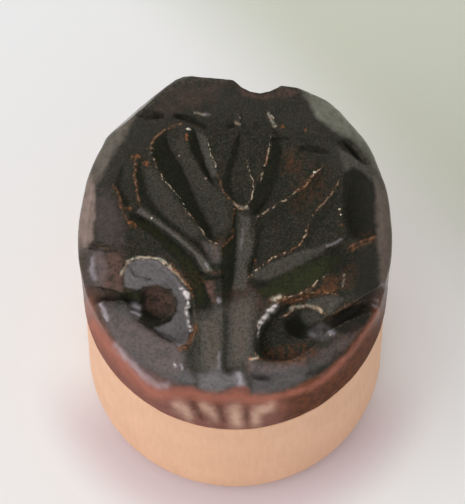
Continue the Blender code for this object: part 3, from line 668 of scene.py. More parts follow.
# Where the face ends and the red side begins, as (right, up) in face units; behind, it runs wide of the head
FACE_EDGE = [
    (-9.4, -3.6), (-9.0, -4.8), (-8.5, -5.6), (-8.0, -6.25), (-7.6, -6.75), (-7.0, -7.45), (-6.5, -8.05),
    (-5.9, -8.7), (-5.3, -9.1), (-4.6, -9.25), (-3.8, -9.2), (-3.0, -9.15), (-2.6, -9.2), (-2.2, -9.5),
    (-1.7, -9.65), (-1.1, -9.65), (-0.5, -9.45), (0.0, -9.2), (0.6, -9.15), (0.9, -9.35), (1.0, -9.7),
    (1.4, -9.9), (2.2, -9.85), (3.0, -9.6), (4.0, -9.2), (4.5, -8.85), (5.3, -8.55), (6.0, -8.05),
    (7.0, -7.1), (7.6, -6.35), (8.2, -5.6), (8.7, -4.8), (9.0, -4.2), (9.3, -3.6), (14.0, -3.6), (14.0, 14.0),
    (-14.0, 14.0), (-14.0, -3.2), (-9.8, -3.3),
]

# Cracks and fine cuts: points, half width and depth in mm
CRACKS = [
    ([(-6.9, -1.4), (-6.4, -2.1), (-5.9, -2.35), (-5.4, -2.3)], 0.05, 0.07),
    ([(-2.2, -1.9), (-1.7, -2.25), (-0.7, -2.15)], 0.11, 0.12),
    ([(-0.9, -5.0), (-0.9, -7.6)], 0.07, 0.06),
    ([(-3.9, 8.3), (-3.0, 8.2), (-2.3, 7.8), (-1.9, 7.6)], 0.13, 0.14),
    ([(4.2, 6.15), (4.7, 6.3), (5.2, 6.2), (6.0, 6.0)], 0.12, 0.12),
    ([(2.4, 6.8), (3.4, 6.8)], 0.10, 0.10),
    ([(0.6, 8.2), (0.6, 7.6)], 0.08, 0.08),
    ([(3.1, 7.8), (3.7, 7.5)], 0.12, 0.08),
    ([(-4.9, -2.2), (-4.3, -2.6)], 0.05, 0.04),
    ([(-6.0, -5.3), (-4.4, -6.0), (-3.6, -6.4)], 0.07, 0.06),
]


def smooth_step(share):
    share = np.clip(share, 0, 1)
    return share * share * (3 - 2 * share)


def face_matrix(settings):
    """From face units (right, up, out of the face) to the seal's own frame."""
    place = Matrix.Translation((0, 0, settings.face_height))
    return place @ Matrix.Rotation(settings.face_lean, 4, "X") @ Matrix.Scale(settings.face_unit, 4)


def disc_grid(cells):
    """Radius (0 to 1) and angle of each corner of a square grid that is drawn out into a disc."""
    steps = np.linspace(-1, 1, cells + 1)
    across, along = np.meshgrid(steps, steps, indexing="ij")
    wide = np.abs(across) > np.abs(along)
    safe_across = np.where(across == 0, 1, across)
    safe_along = np.where(along == 0, 1, along)
    radius = np.where(wide, across, along)
    angle = np.where(wide, pi / 4 * along / safe_across, pi / 2 - pi / 4 * across / safe_along)
    right = radius * np.cos(angle)
    up = radius * np.sin(angle)
    return np.hypot(right, up).ravel(), np.arctan2(up, right).ravel()


class HeadSurface:
    """Reads the carved head's own form with rays that turn from the face's normal to level at the rim."""

    REACH = 5 * MM

    def __init__(self, settings, node):
        mesh = node.data
        corners = [tuple(vert.co) for vert in mesh.vertices]
        faces = [tuple(face.vertices) for face in mesh.polygons]
        self.tree = BVHTree.FromPolygons(corners, faces)
        self.settings = settings
        self.face = face_matrix(settings)
        self.normal = (self.face.to_3x3() @ Vector((0, 0, 1))).normalized()
        self.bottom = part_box(node.name)[0].z

    def rim(self, angle):
        return self.settings.rim_radius + self.settings.rim_reach * sin(angle)

    def on_face(self, distance, angle):
        unit = self.settings.face_unit
        return self.face @ Vector((distance * cos(angle) / unit, distance * sin(angle) / unit, 0))

    def ray(self, aim, angle, past_rim):
        """The surface met on the way to aim; past_rim is the distance past the rim, below 0 on the face."""
        blend = self.settings.rim_blend
        turn = pi / 2 * float(smooth_step(0.5 + past_rim / (2 * blend)))
        level = Vector((cos(angle), sin(angle), 0))
        out = (self.normal * cos(turn) + level * sin(turn)).normalized()
        hit = self.tree.ray_cast(aim + out * self.REACH, -out)[0]
        return hit if hit is not None else aim

    def face_point(self, share, angle):
        rim = self.rim(angle)
        return self.ray(self.on_face(rim * share, angle), angle, rim * (share - 1))

    def side_point(self, share, angle):
        radius = self.settings.foot_radius
        upper = self.on_face(self.rim(angle), angle)
        lower = Vector((radius * cos(angle), radius * sin(angle), self.bottom))
        return self.ray(upper.lerp(lower, share), angle, (lower - upper).length * share)

    def foot_point(self, angle):
        radius = self.settings.foot_radius - self.settings.foot_round
        return Vector((radius * cos(angle), radius * sin(angle), self.bottom))


SIDE_ROWS = 38
FINE_SIDE_ROWS = 10
SIDE_CROWDING = 1.25
SIDE_END = 0.985


def head_mesh_data(settings, surface):
    """Points and faces of the head, how far down each point is, and how many points the flat foot has."""
    cells = settings.face_cells
    shares, angles = disc_grid(cells)
    points = [surface.face_point(share, angle) for share, angle in zip(shares, angles)]
    down = [0.0] * len(points)
    index = np.arange((cells + 1) ** 2).reshape(cells + 1, cells + 1)
    quads = np.stack([index[:-1, :-1], index[1:, :-1], index[1:, 1:], index[:-1, 1:]], axis=-1)
    faces = quads.reshape(-1, 4).tolist()

    edge = np.unique(np.concatenate([index[0], index[-1], index[:, 0], index[:, -1]]))
    ring = edge[np.argsort(angles[edge])]
    ring_angles = angles[ring]
    ring = ring.tolist()
    for row in range(1, SIDE_ROWS + 1):
        share = SIDE_END * (row / SIDE_ROWS) ** SIDE_CROWDING
        if row == FINE_SIDE_ROWS:
            ring_angles = ring_angles[::2]
        first = len(points)
        points += [surface.side_point(share, angle) for angle in ring_angles]
        down += [share] * len(ring_angles)
        lower = list(range(first, len(points)))
        faces += join_rings(ring, lower)
        ring = lower
    first = len(points)
    points += [surface.foot_point(angle) for angle in ring_angles]
    lower = list(range(first, len(points)))
    faces += join_rings(ring, lower)
    faces.append(lower[::-1])
    down += [1.0] * len(lower)
    return np.array(points), faces, np.array(down), len(lower)


def join_rings(upper, lower):
    """Faces between two rings, the lower one with as many points or with half as many."""
    count = len(lower)
    if len(upper) == count:
        return [
            (upper[at], lower[at], lower[(at + 1) % count], upper[(at + 1) % count])
            for at in range(count)
        ]
    faces = []
    for at in range(count):
        left, middle, right = (upper[(2 * at + step) % (2 * count)] for step in range(3))
        after = lower[(at + 1) % count]
        faces += [(left, lower[at], middle), (lower[at], after, middle), (middle, after, right)]
    return faces


def mesh_from(name, points, faces):
    mesh = bpy.data.meshes.new(name)
    mesh.from_pydata(points.tolist(), [], faces)
    mesh.shade_smooth()
    return mesh


def edge_ends(mesh):
    ends = np.zeros(len(mesh.edges) * 2, dtype=np.int64)
    mesh.edges.foreach_get("vertices", ends)
    return ends.reshape(-1, 2)


def relaxed(points, ends, passes, amount=0.5):
    """Points moved towards the mean of their neighbours."""
    count = np.bincount(ends.ravel(), minlength=len(points))[:, None]
    for _ in range(passes):
        total = np.zeros_like(points)
        for axis in range(3):
            total[:, axis] = np.bincount(ends[:, 0], points[ends[:, 1], axis], len(points))
            total[:, axis] += np.bincount(ends[:, 1], points[ends[:, 0], axis], len(points))
        points = points + amount * (total / count - points)
    return points


def vertex_normals(mesh, points):
    mesh.vertices.foreach_set("co", points.ravel())
    mesh.update()
    normals = np.zeros(len(points) * 3)
    mesh.vertices.foreach_get("normal", normals)
    return normals.reshape(-1, 3)


def waves(points, size, seed):
    """Smooth noise from -1 to 1 with lumps of about the size."""
    moved = points / size + np.array([seed * 7.31, seed * 3.17, seed * 5.53])
    return np.array([noise.noise(point) for point in moved.tolist()])


def line_distance(right, up, line, signed=False):
    """Distance to a line of straight stretches, in its points' units; signed tells its sides apart."""
    nearest = np.full(len(right), np.inf)
    side = np.ones(len(right))
    for (x0, y0), (x1, y1) in zip(line, line[1:]):
        run_x, run_y = x1 - x0, y1 - y0
        share = ((right - x0) * run_x + (up - y0) * run_y) / (run_x**2 + run_y**2)
        share = np.clip(share, 0, 1)
        away = np.hypot(right - x0 - share * run_x, up - y0 - share * run_y)
        turn = (up - y0) * run_x - (right - x0) * run_y
        side = np.where(away < nearest, np.where(turn < 0, -1, 1), side)
        nearest = np.minimum(nearest, away)
    return nearest * side if signed else nearest


def inside(right, up, outline):
    """Which points lie inside a closed outline."""
    within = np.zeros(len(right), dtype=bool)
    for (x0, y0), (x1, y1) in zip(outline, outline[1:] + outline[:1]):
        if y0 != y1:
            crosses = (y0 > up) != (y1 > up)
            within ^= crosses & (right < x0 + (x1 - x0) * (up - y0) / (y1 - y0))
    return within


def leaf_depth(right, up, left_edge, valley, right_edge, depth):
    """How deep one leaf is cut, with walls that fall to its valley, and which points are its left wall."""
    to_valley = line_distance(right, up, valley)
    share = np.zeros(len(right))
    left_wall = inside(right, up, left_edge + valley[::-1])
    for edge, wall in ((left_edge, left_wall), (right_edge, inside(right, up, right_edge + valley[::-1]))):
        to_edge = line_distance(right, up, edge)
        share = np.where(wall, to_edge / np.maximum(to_edge + to_valley, 1e-6), share)
    tips = [np.hypot(right - x, up - y) for x, y in (valley[0], valley[-1])]
    return depth * share * np.sqrt(np.clip(np.minimum(*tips) / TIP_REACH, 0, 1)), left_wall


def cut_field(right, up, out, unit):
    """Height over the face's plane, in face units, with the leaves cut in; how dark the painted shade on the
    left walls is.
    """
    depth = np.zeros(len(right))
    wall = np.zeros(len(right))
    for left_edge, valley, right_edge, deep, darkness in LEAVES:
        here, left_wall = leaf_depth(right, up, left_edge, valley, right_edge, deep)
        wall = np.where(here > depth, left_wall * darkness, wall)
        depth = np.maximum(depth, here)
    plain = -FACE_DOME / unit * (right**2 + up**2) / 100
    share = smooth_step(line_distance(right, up, FIELD + FIELD[:1]) / FIELD_BLEND)
    share = np.where(inside(right, up, FIELD), share, 0) * smooth_step(out - FIELD_FLOOR)
    return out + share * (plain - depth / unit - out), wall * share


def varied(mean_and_swing, wave):
    mean, swing = mean_and_swing
    return mean + swing * wave


def store(mesh, name, values):
    layer = mesh.attributes.new(name, "FLOAT", "POINT")
    layer.data.foreach_set("value", values.astype(np.float32))


def raised(mesh, spot, lift):
    """The lift in mm with arrises, patches and cracks in it; stores how pale and how rusty they are."""
    arris = np.full(len(lift), FAR_OFF)
    shares = {name: np.zeros(len(lift)) for name in ("pale_line", "rust_line", "pale", "rust")}

    def tint(suffix, near, paleness, rustiness):
        for name, share in (("pale" + suffix, paleness), ("rust" + suffix, rustiness)):
            shares[name] = np.maximum(shares[name], share * near)

    beads = np.clip(varied(BEADS, spot.beads), *BEADS_RANGE)
    for line, half_width, height, paleness, rustiness in ARRISES:
        away = line_distance(spot.line_right, spot.line_up, line, signed=True) * spot.unit
        arris = np.where(np.abs(away) < np.abs(arris), away, arris)
        lift += height * np.exp(-((away / half_width) ** 2)) * spot.facing * beads
        near = smooth_step(ARRIS_ENDS - np.abs(away) / ARRIS_REACH) * spot.facing
        tint("_line", near, paleness, rustiness)
    store(mesh, "arris", np.clip(arris, -ARRIS_LIMIT, ARRIS_LIMIT))
    for at_right, at_up, half_long, half_high, turn, paleness, rustiness, height in PATCHES:
        angle = radians(turn)
        along = (spot.right - at_right) * cos(angle) + (spot.up - at_up) * sin(angle)
        across = (spot.up - at_up) * cos(angle) - (spot.right - at_right) * sin(angle)
        near = np.exp(-((along / half_long) ** 2) - (across / half_high) ** 2) * spot.facing
        lift += height * near
        tint("", near, paleness, rustiness)
    for name, share in shares.items():
        store(mesh, name, share)
    for line, half_width, depth in CRACKS:
        near = np.exp(-((line_distance(spot.right, spot.up, line) * spot.unit / half_width) ** 2))
        lift -= depth * near * varied(CRACKING, spot.breakup) * spot.facing
    return lift


def store_strokes(mesh, spot, shown):
    for kind, strokes in STROKES.items():
        total = np.zeros(len(shown))
        for strength, half_width, line in strokes:
            away = line_distance(spot.line_right, spot.line_up, line) * spot.unit
            total = np.maximum(total, strength * np.exp(-((away / half_width) ** 2)))
        if kind == "white":
            teeth = np.sin(2 * pi * spot.up / SERRATION + 5 * spot.lumps + spot.right)
            broken = varied(TOOTHING, teeth)
        else:
            broken = varied(STROKING, spot.lumps)
        store(mesh, kind, shown * total * np.clip(broken, 0, 1))


def store_patina_and_light(mesh, spot, shown):
    """Stores each kind's share, with edges that wander and that grow softer down the side."""
    fading = OUTLINES_SOFTEN_BY * smooth_step(spot.down / OUTLINES_SOFTEN_OVER)
    for kind, stains in PATINA_AND_PAINTED_LIGHT.items():
        total = np.zeros(len(shown))
        for strength, soft, outline in stains:
            wander = min(1, soft / WANDERS_FULLY_FROM)
            right = spot.right + wander * (FINE_WANDER * spot.breakup + LUMP_WANDER * spot.lumps)
            up = spot.up + wander * (FINE_WANDER * spot.fine - LUMP_WANDER * spot.lumps)
            away = line_distance(right, up, outline + outline[:1])
            away = np.where(inside(right, up, outline), away, -away)
            total = np.maximum(total, strength * smooth_step(0.5 + away / (2 * (soft + fading))))
        store(mesh, kind, total * shown)


def store_sides(mesh, spot):
    """Stores where the knife planed the rim, where the steep brown back shows and where the side is red."""
    outer = smooth_step((np.hypot(spot.right, spot.up) - PLANED_FROM) / PLANED_OVER)
    behind = smooth_step((spot.up - BACK_FROM + BACK_WANDER * spot.broad) / BACK_OVER)
    behind = np.maximum(behind, smooth_step((spot.down - BACK_DOWN_FROM) / BACK_DOWN_OVER))
    store(mesh, "planed", outer)
    store(mesh, "steep", smooth_step((STEEP_FROM - spot.slope) / STEEP_OVER) * outer * behind)
    edge_up = spot.up + SIDE_WANDER * spot.lumps
    beyond = line_distance(spot.right, edge_up, FACE_EDGE + FACE_EDGE[:1])
    beyond = np.where(inside(spot.right, edge_up, FACE_EDGE), -beyond, beyond)
    at_rim = smooth_step(0.5 + beyond / (2 * SIDE_SOFT))
    before = RED_BEGINS - spot.up + RED_BROAD_WANDER * spot.broad + RED_LUMP_WANDER * spot.lumps
    below = np.clip(before / RED_FADE, 0, 1) ** 2
    low_down = smooth_step((spot.down - RED_DOWN_FROM) / RED_DOWN_OVER)
    store(mesh, "side", at_rim + (below - at_rim) * low_down)


def carve_head(settings, node):
    surface = HeadSurface(settings, node)
    points, faces, down, foot_count = head_mesh_data(settings, surface)
    mesh = mesh_from("carved_head_fine", points, faces)
    ends = edge_ends(mesh)
    points = relaxed(points, ends, 1)

    unit = settings.face_unit / MM
    outward = np.array(surface.normal)
    to_face = np.array(surface.face.inverted())
    right, up, out = (points @ to_face[:3, :3].T + to_face[:3, 3]).T
    cut, wall = cut_field(right, up, out, unit)
    points = points + outward * ((cut - out) * unit * MM)[:, None]
    points = relaxed(points, ends, settings.wear_passes)
    normals = vertex_normals(mesh, points)

    spot = SimpleNamespace(right=right, up=up, down=down, unit=unit, slope=normals @ outward)
    for seed, (name, size) in enumerate(WAVE_SIZES.items(), 1):
        setattr(spot, name, waves(points / MM, size, seed))
    spot.facing = smooth_step((spot.slope - FACING_FROM) / FACING_OVER)
    spot.line_right = right + LINE_WANDER * spot.fine
    spot.line_up = up + LINE_WANDER * spot.wander

    lift = raised(mesh, spot, BROAD_LIFT * spot.broad + LUMP_LIFT * spot.lumps + FINE_LIFT * spot.fine)
    lift[-foot_count:] = 0
    points = points + normals * (lift * MM)[:, None]
    low, high = (np.array(corner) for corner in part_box(node.name))
    points = np.clip(points, low, high)
    normals = vertex_normals(mesh, points)

    for name, passes in (("sharp", SHARP_PASSES), ("swell", SWELL_PASSES)):
        store(mesh, name, np.sum((points - relaxed(points, ends, passes)) * normals, axis=1) / MM)
    for name, values in (("wall", wall), ("right", right), ("up", up), ("down", down)):
        store(mesh, name, values)
    fades = 1 - smooth_step((down - MARKS_FADE_FROM) / MARKS_FADE_OVER)
    shown = np.where(up < FRONT_END, 1, fades)
    store_strokes(mesh, spot, shown)
    store_patina_and_light(mesh, spot, shown)
    store_sides(mesh, spot)
    return bpy.data.objects.new("carved_head_fine", mesh)


class Shade:
    """A node's output that can be used in sums: each one adds its Math node."""

    def __init__(self, recipe, socket):
        self.recipe = recipe
        self.socket = socket

    def maths(self, operation, first, second):
        return self.recipe.node("ShaderNodeMath", {"operation": operation}, {0: first, 1: second})

    def __add__(self, other):
        return self.maths("ADD", self, other)

    def __radd__(self, other):
        return self.maths("ADD", other, self)

    def __sub__(self, other):
        return self.maths("SUBTRACT", self, other)

    def __rsub__(self, other):
        return self.maths("SUBTRACT", other, self)

    def __mul__(self, other):
        return self.maths("MULTIPLY", self, other)

    def __rmul__(self, other):
        return self.maths("MULTIPLY", other, self)


class Recipe:
    """The nodes of a material, or of the studio's sky."""

    def __init__(self, owner, shader):
        owner.use_nodes = True
        self.owner = owner
        self.tree = owner.node_tree
        self.shader = self.tree.nodes[shader]

    @classmethod
    def material(cls, name, **constants):
        recipe = cls(bpy.data.materials.new(name), "Principled BSDF")
        recipe.finish(**constants)
        return recipe

    def node(self, kind, settings=None, sockets=None, output=0):
        """Adds a node: its settings come first, then the values or links of its sockets."""
        made = self.tree.nodes.new(kind)
        for name, value in (settings or {}).items():
            setattr(made, name, value)
        for key, value in (sockets or {}).items():
            self.feed(made.inputs[key], value)
        return Shade(self, made.outputs[output])

    def feed(self, socket, value):
        if isinstance(value, Shade):
            self.tree.links.new(value.socket, socket)
        elif isinstance(value, (int, float)):
            socket.default_value = value
        else:
            value = tuple(value)
            wants = len(socket.default_value)
            socket.default_value = value + (1,) * (wants - len(value))

    def place_mm(self):
        """Place on the piece, in millimetres."""
        place = self.node("ShaderNodeTexCoord", output="Object")
        return self.node("ShaderNodeVectorMath", {"operation": "SCALE"}, {0: place, "Scale": 1 / MM})

    def noise(self, place, lumps_per_mm, detail=2.0, roughness=0.5, shift=0.0):
        moved = self.node("ShaderNodeVectorMath", {"operation": "ADD"}, {0: place, 1: (shift, shift, shift)})
        sockets = {"Vector": moved, "Scale": lumps_per_mm, "Detail": detail, "Roughness": roughness}
        return self.node("ShaderNodeTexNoise", None, sockets)

    def attribute(self, name):
        return self.node("ShaderNodeAttribute", {"attribute_name": name}, output="Fac")

    def between(self, value, low, high, start=0.0, end=1.0):
        """The value's way from low to high, eased and held to start and end."""
        settings = {"interpolation_type": "SMOOTHSTEP", "clamp": True}
        sockets = {"Value": value, "From Min": low, "From Max": high, "To Min": start, "To Max": end}
        return self.node("ShaderNodeMapRange", settings, sockets)

    def along(self, place, direction):
        """How far the place lies in a direction."""
        sockets = {0: place, 1: direction}
        return self.node("ShaderNodeVectorMath", {"operation": "DOT_PRODUCT"}, sockets, "Value")

    def mix(self, share, first, second):
        settings = {"data_type": "RGBA", "clamp_factor": True}
        return self.node("ShaderNodeMix", settings, {0: share, 6: first, 7: second}, output=2)

    def stain(self, under, kind, grain, low, high, colour, least=0.0, strength=1.0):
        """The colour laid over what is under it where an attribute says so, broken up by a grain."""
        share = self.attribute(kind) * self.between(grain, low, high, least, 1.0)
        return self.mix(share * strength, under, colour)

    def bump(self, height, distance, strength=1.0):
        sockets = {"Height": height, "Distance": distance, "Strength": strength}
        return self.node("ShaderNodeBump", None, sockets)

    def finish(self, **links):
        for name, value in links.items():
            self.feed(self.shader.inputs[name.replace("_", " ")], value)
        return self.owner


def head_material(settings):
    recipe = Recipe.material(
        "dark_head", IOR=1.25, Specular_IOR_Level=0.35, Coat_IOR=1.5, Coat_Roughness=0.25
    )
    place = recipe.place_mm()
    grit = recipe.noise(place, 11.0, 2, 0.6, 21.7)
    fine = recipe.noise(place, 5.5, 3, 0.6)
    mottle = recipe.noise(place, 2.2, 3, 0.55, 4.7)
    broad = recipe.noise(place, 0.45, 2, 0.5, 9.1)
    fleck = recipe.noise(place, 5.2, 2, 0.5, 15.3)
    down = recipe.attribute("down")
    border = (mottle * 0.5 + broad * 0.5 - 0.5) * recipe.between(down, 0.05, 0.3) * 0.5
    side = recipe.node("ShaderNodeClamp", None, {"Value": recipe.attribute("side") * (1 + border)})
    planed = recipe.attribute("planed")
    up = recipe.attribute("up")
    right = recipe.attribute("right")
    even = fine * 0.5 + mottle * 0.5
    flecked = fine * 0.5 + fleck * 0.5

    stone = recipe.mix(recipe.between(mottle, 0.36, 0.64), settings.green, settings.brown)
    stone = recipe.mix(recipe.between(fine * 0.4 + grit * 0.6, 0.46, 0.68) * 0.5, stone, settings.speck)
    stone = recipe.mix(recipe.between(grit, 0.48, 0.34) * 0.55, stone, settings.black)
    stone = recipe.mix(planed * recipe.between(broad, 0.3, 0.7, 0.1, 0.5), stone, settings.grey)
    # Painted shade: the leaves' left walls, which face away from the light, darkened to olive
    wall = recipe.attribute("wall") * recipe.between(fine, 0.3, 0.6, 0.95, 0.65)
    stone = recipe.mix(wall, stone, settings.shade_olive)
    # Painted shade: the broad hollows darkened towards black
    hollow_shade = recipe.between(recipe.attribute("swell"), -0.01, -0.12)
    stone = recipe.mix(hollow_shade * (1 - planed * 0.5) * 0.7, stone, settings.black)

    rusty = recipe.mix(recipe.between(fleck, 0.35, 0.65), settings.umber, settings.rust)
    stone = recipe.stain(stone, "blush", even, 0.36, 0.60, settings.blush, least=0.25)
    stone = recipe.stain(stone, "umber", even, 0.40, 0.60, settings.umber, strength=0.85)
    stone = recipe.stain(stone, "rusty", flecked, 0.40, 0.62, rusty, strength=0.8)
    # Painted shade, olive, on the long leaves' walls and the gutter
    stone = recipe.stain(stone, "moss", even, 0.38, 0.62, settings.moss, least=0.3)
    # Painted light on the walls and rims that face the light
    stone = recipe.stain(stone, "ash", fine * 0.5 + grit * 0.5, 0.36, 0.60, settings.ash, least=0.45)
    # Painted reflection of the window, with some pale bloom, laid over the facets
    stone = recipe.stain(stone, "frost", fine * 0.6 + mottle * 0.4, 0.36, 0.60, settings.frost, least=0.65)
    # Painted shade in the pits, grooves and facets turned from the light, darkened towards black
    stone = recipe.mix(recipe.attribute("soot") * 0.85, stone, settings.black)
    worn = recipe.between(recipe.attribute("sharp"), 0.006, 0.03) * recipe.between(fleck, 0.42, 0.62)
    stone = recipe.mix(worn * 0.25, stone, settings.worn)

    line = recipe.attribute("arris") + (fleck - 0.5) * 0.06 + (grit - 0.5) * 0.05
    line = recipe.node("ShaderNodeMath", {"operation": "ABSOLUTE"}, {0: line})
    rust_share = recipe.between(recipe.attribute("rust") * (0.45 + fleck * 1.1), 0.35, 0.7)
    rust_share = rust_share + recipe.between(line, 0.12, 0.03) * recipe.attribute("rust_line") * 0.8
    patchy = recipe.between(mottle * 0.6 + fleck * 0.4, 0.38, 0.54, 0.1, 0.8)
    stone = recipe.mix(rust_share * patchy, stone, rusty)
    pale_share = recipe.between(recipe.attribute("pale") * (0.4 + fleck * 1.2), 0.5, 0.85)
    beads = recipe.between(fleck * 0.6 + mottle * 0.4, 0.45, 0.60, 0.0, 0.7)
    pale_share = pale_share + recipe.between(line, 0.062, 0.015) * recipe.attribute("pale_line") * beads
    dull_pale = tuple(part * share for part, share in zip(settings.pale, (1, 0.85, 0.75)))
    crust = recipe.mix(recipe.between(mottle, 0.40, 0.60), settings.pale, dull_pale)
    stone = recipe.mix(pale_share * 0.85, stone, crust)
    stone = recipe.stain(stone, "tawny", flecked, 0.38, 0.58, settings.rust)
    stone = recipe.stain(stone, "cream", flecked, 0.36, 0.52, crust, least=0.3)
    # Painted shade in the cuts, cracks and grooves, darkened towards black
    stone = recipe.mix(recipe.attribute("ink") * 0.85, stone, settings.black)
    stone = recipe.stain(stone, "white", grit, 0.35, 0.55, settings.white, least=0.6)

    # Painted light: the red side lighter and rosier on the left, towards the light
    left = recipe.between(right, 4.2, 2.2)
    dark_red = tuple(0.6 * part for part in settings.red)
    red = recipe.mix(recipe.between(mottle, 0.35, 0.65), dark_red, settings.red)
    red = recipe.mix(left * recipe.between(mottle, 0.3, 0.6, 0.75, 1.0), red, settings.lit_side_rose)
    # Painted shade in the short front cuts on the red side
    red = recipe.mix(recipe.attribute("ink") * 0.8, red, tuple(0.5 * part for part in settings.umber))
    red = recipe.mix(recipe.attribute("bar") * 0.9, red, settings.bar)
    steep = recipe.attribute("steep")
    back = recipe.mix(recipe.between(mottle, 0.35, 0.65), settings.brown, settings.grey)
    back = recipe.mix(recipe.between(down, 0.1, 0.6, 0.0, 0.5), back, settings.red)
    stone = recipe.mix(steep, stone, back)
    # Painted reflection on the bevels, greener towards the back right
    green_sheen_share = recipe.between(up, 3.5, 5.5) * recipe.between(right, -4, 4, 0.5, 1.0)
    haze = recipe.mix(green_sheen_share, settings.haze, settings.green_bevel_sheen)
    stone = recipe.stain(stone, "haze", mottle, 0.3, 0.6, haze, least=0.7)
    stone = recipe.mix(side, stone, red)
    # The rim's own red with a painted highlight along its lit edge
    stone = recipe.mix(recipe.attribute("salmon"), stone, settings.salmon)
    stone = recipe.mix(recipe.attribute("glint") * 0.9, stone, settings.glint)

    roughness = 0.80 - steep * (1 - side) * 0.40 - side * (1 - left) * 0.1
    roughness = roughness - planed * (1 - side) * 0.2 + fine * 0.1
    grain = recipe.bump(fine * 0.5 + mottle * 0.3 + grit * 0.3, 0.065 * MM, 1.0)
    return recipe.finish(
        Base_Color=stone,
        Roughness=roughness,
        Coat_Weight=steep * (1 - side) * 0.6,
        Normal=grain,
    )


SHANK_COLUMNS = 256
SHANK_ROWS = 70
TOP_RINGS = (0.3, 0.6, 0.85)
ARC_STEPS = 8
PORE_COLOUR = (0.32, 0.17, 0.10)

# In mm: depth and size of the turner's rings and of the slow unevenness, and how the rings are stretched
TURNING_DEPTH, TURNING_SIZE = 0.006, 0.35
SLOW_DEPTH, SLOW_SIZE = 0.012, 3.5
TURNING_STRETCH = (0.02, 0.02, 1)

# Where the turned side begins above the foot, in roundings of the foot, and ends under the top, in mm
SIDE_STARTS = 0.3
SIDE_STOPS = 0.02


def shank_profile(settings):
    """Radius and height from the middle of the top, down the side, to the middle of the flat foot."""
    radius, height = settings.radius, settings.height
    top, foot = settings.top_round, settings.foot_round
    profile = [(share * (radius - top), height) for share in TOP_RINGS]
    for step in range(ARC_STEPS + 1):
        angle = pi / 2 * (1 - step / ARC_STEPS)
        profile.append((radius - top + top * cos(angle), height - top + top * sin(angle)))
    for row in range(1, SHANK_ROWS):
        profile.append((radius, height - top - (height - top - foot) * row / SHANK_ROWS))
    for step in range(2 * ARC_STEPS + 1):
        angle = pi / 2 * step / (2 * ARC_STEPS)
        profile.append((radius - foot + foot * cos(angle), foot - foot * sin(angle)))
    return profile


def turn_shank(settings):
    profile = shank_profile(settings)
    points = []
    for radius, height in profile:
        for column in range(SHANK_COLUMNS):
            angle = 2 * pi * column / SHANK_COLUMNS
            points.append((radius * cos(angle), radius * sin(angle), height))
    faces = [tuple(range(SHANK_COLUMNS))]
    for row in range(len(profile) - 1):
        upper = list(range(row * SHANK_COLUMNS, (row + 1) * SHANK_COLUMNS))
        lower = [index + SHANK_COLUMNS for index in upper]
        faces += join_rings(upper, lower)
    faces.append(tuple(range(len(points) - 1, len(points) - SHANK_COLUMNS - 1, -1)))
    points = np.array(points)
    in_mm = points / MM
    rings = waves(in_mm * np.array(TURNING_STRETCH), TURNING_SIZE, 11)
    slow = waves(in_mm, SLOW_SIZE, 12)
    out = points.copy()
    out[:, 2] = 0
    out /= np.maximum(np.linalg.norm(out, axis=1), 1e-9)[:, None]
    on_side = points[:, 2] > SIDE_STARTS * settings.foot_round
    on_side &= in_mm[:, 2] < settings.height / MM - SIDE_STOPS
    depth = (TURNING_DEPTH * (1 + rings) + SLOW_DEPTH * (1 + slow)) * MM
    points -= out * depth[:, None] * on_side[:, None]
    mesh = mesh_from("turned_shank", points, faces)
    return bpy.data.objects.new("turned_shank", mesh)


def shank_material(settings):
    recipe = Recipe.material("pale_shank", IOR=1.45)
    place = recipe.place_mm()
    stretched = recipe.node("ShaderNodeVectorMath", {"operation": "MULTIPLY"}, {0: place, 1: (1, 1, 0.18)})
    grain = recipe.noise(stretched, 3.2, 4, 0.6)
    pores = recipe.noise(stretched, 11.0, 2, 0.5, 3.3)
    cloud = recipe.noise(place, 0.28, 2, 0.5, 8.8)
    colour = recipe.mix(recipe.between(grain, 0.35, 0.7) * 0.28, settings.peach, settings.tan)
    colour = recipe.mix(recipe.between(cloud, 0.3, 0.7) * 0.3, colour, settings.tan)
    colour = recipe.mix(recipe.between(pores, 0.62, 0.75) * 0.15, colour, PORE_COLOUR)
    bump = recipe.bump(grain * 0.5 + pores * 0.5, 0.02 * MM, 0.6)
    return recipe.finish(Base_Color=colour, Roughness=0.5 + grain * 0.2, Normal=bump)


# In mm from the seal's middle: where the painted shadow on the far paper begins and is full, to the back
# right
FAR_SHADOW_BEGINS, FAR_SHADOW_FULL = 10.5, 20

# In mm from the seal's middle: where the painted contact shadow and bounce light on the near paper begin and
# are full, around and forward
NEAR_SHADE_BEGINS, NEAR_SHADE_FULL, FORWARD_FULL = 13.5, 9.5, 6


def floor_material(settings):
    recipe = Recipe.material("paper", IOR=1.4)
    place = recipe.place_mm()
    fibre = recipe.noise(place, 1.6, 3, 0.6)
    cloud = recipe.noise(place, 0.05, 2, 0.5, 2.2)
    dull_paper = tuple(0.97 * part for part in settings.floor_colour)
    colour = recipe.mix(cloud * 0.3, settings.floor_colour, dull_paper)
    # Painted shadow: the paper darker and greener towards the back right
    across = recipe.along(place, (0.7, 0.7, 0))
    colour = recipe.mix(recipe.between(across, FAR_SHADOW_BEGINS, FAR_SHADOW_FULL), colour, settings.far_shadow_colour)
    # Painted contact shadow and pinkish bounce light on the paper round the seal's front
    forward = recipe.along(place, (0, -1, 0))
    around = recipe.node("ShaderNodeVectorMath", {"operation": "LENGTH"}, {0: place}, "Value")
    contact_shade = recipe.between(around, NEAR_SHADE_BEGINS, NEAR_SHADE_FULL) * recipe.between(forward, 0, FORWARD_FULL)
    colour = recipe.mix(contact_shade, colour, settings.near_shade_and_bounce)
    bump = recipe.bump(fibre, 0.01 * MM, 0.3)
    return recipe.finish(Base_Color=colour, Roughness=0.85, Normal=bump)


def show(piece, material):
    bpy.context.scene.collection.objects.link(piece)
    piece.data.materials.append(material)
    return piece


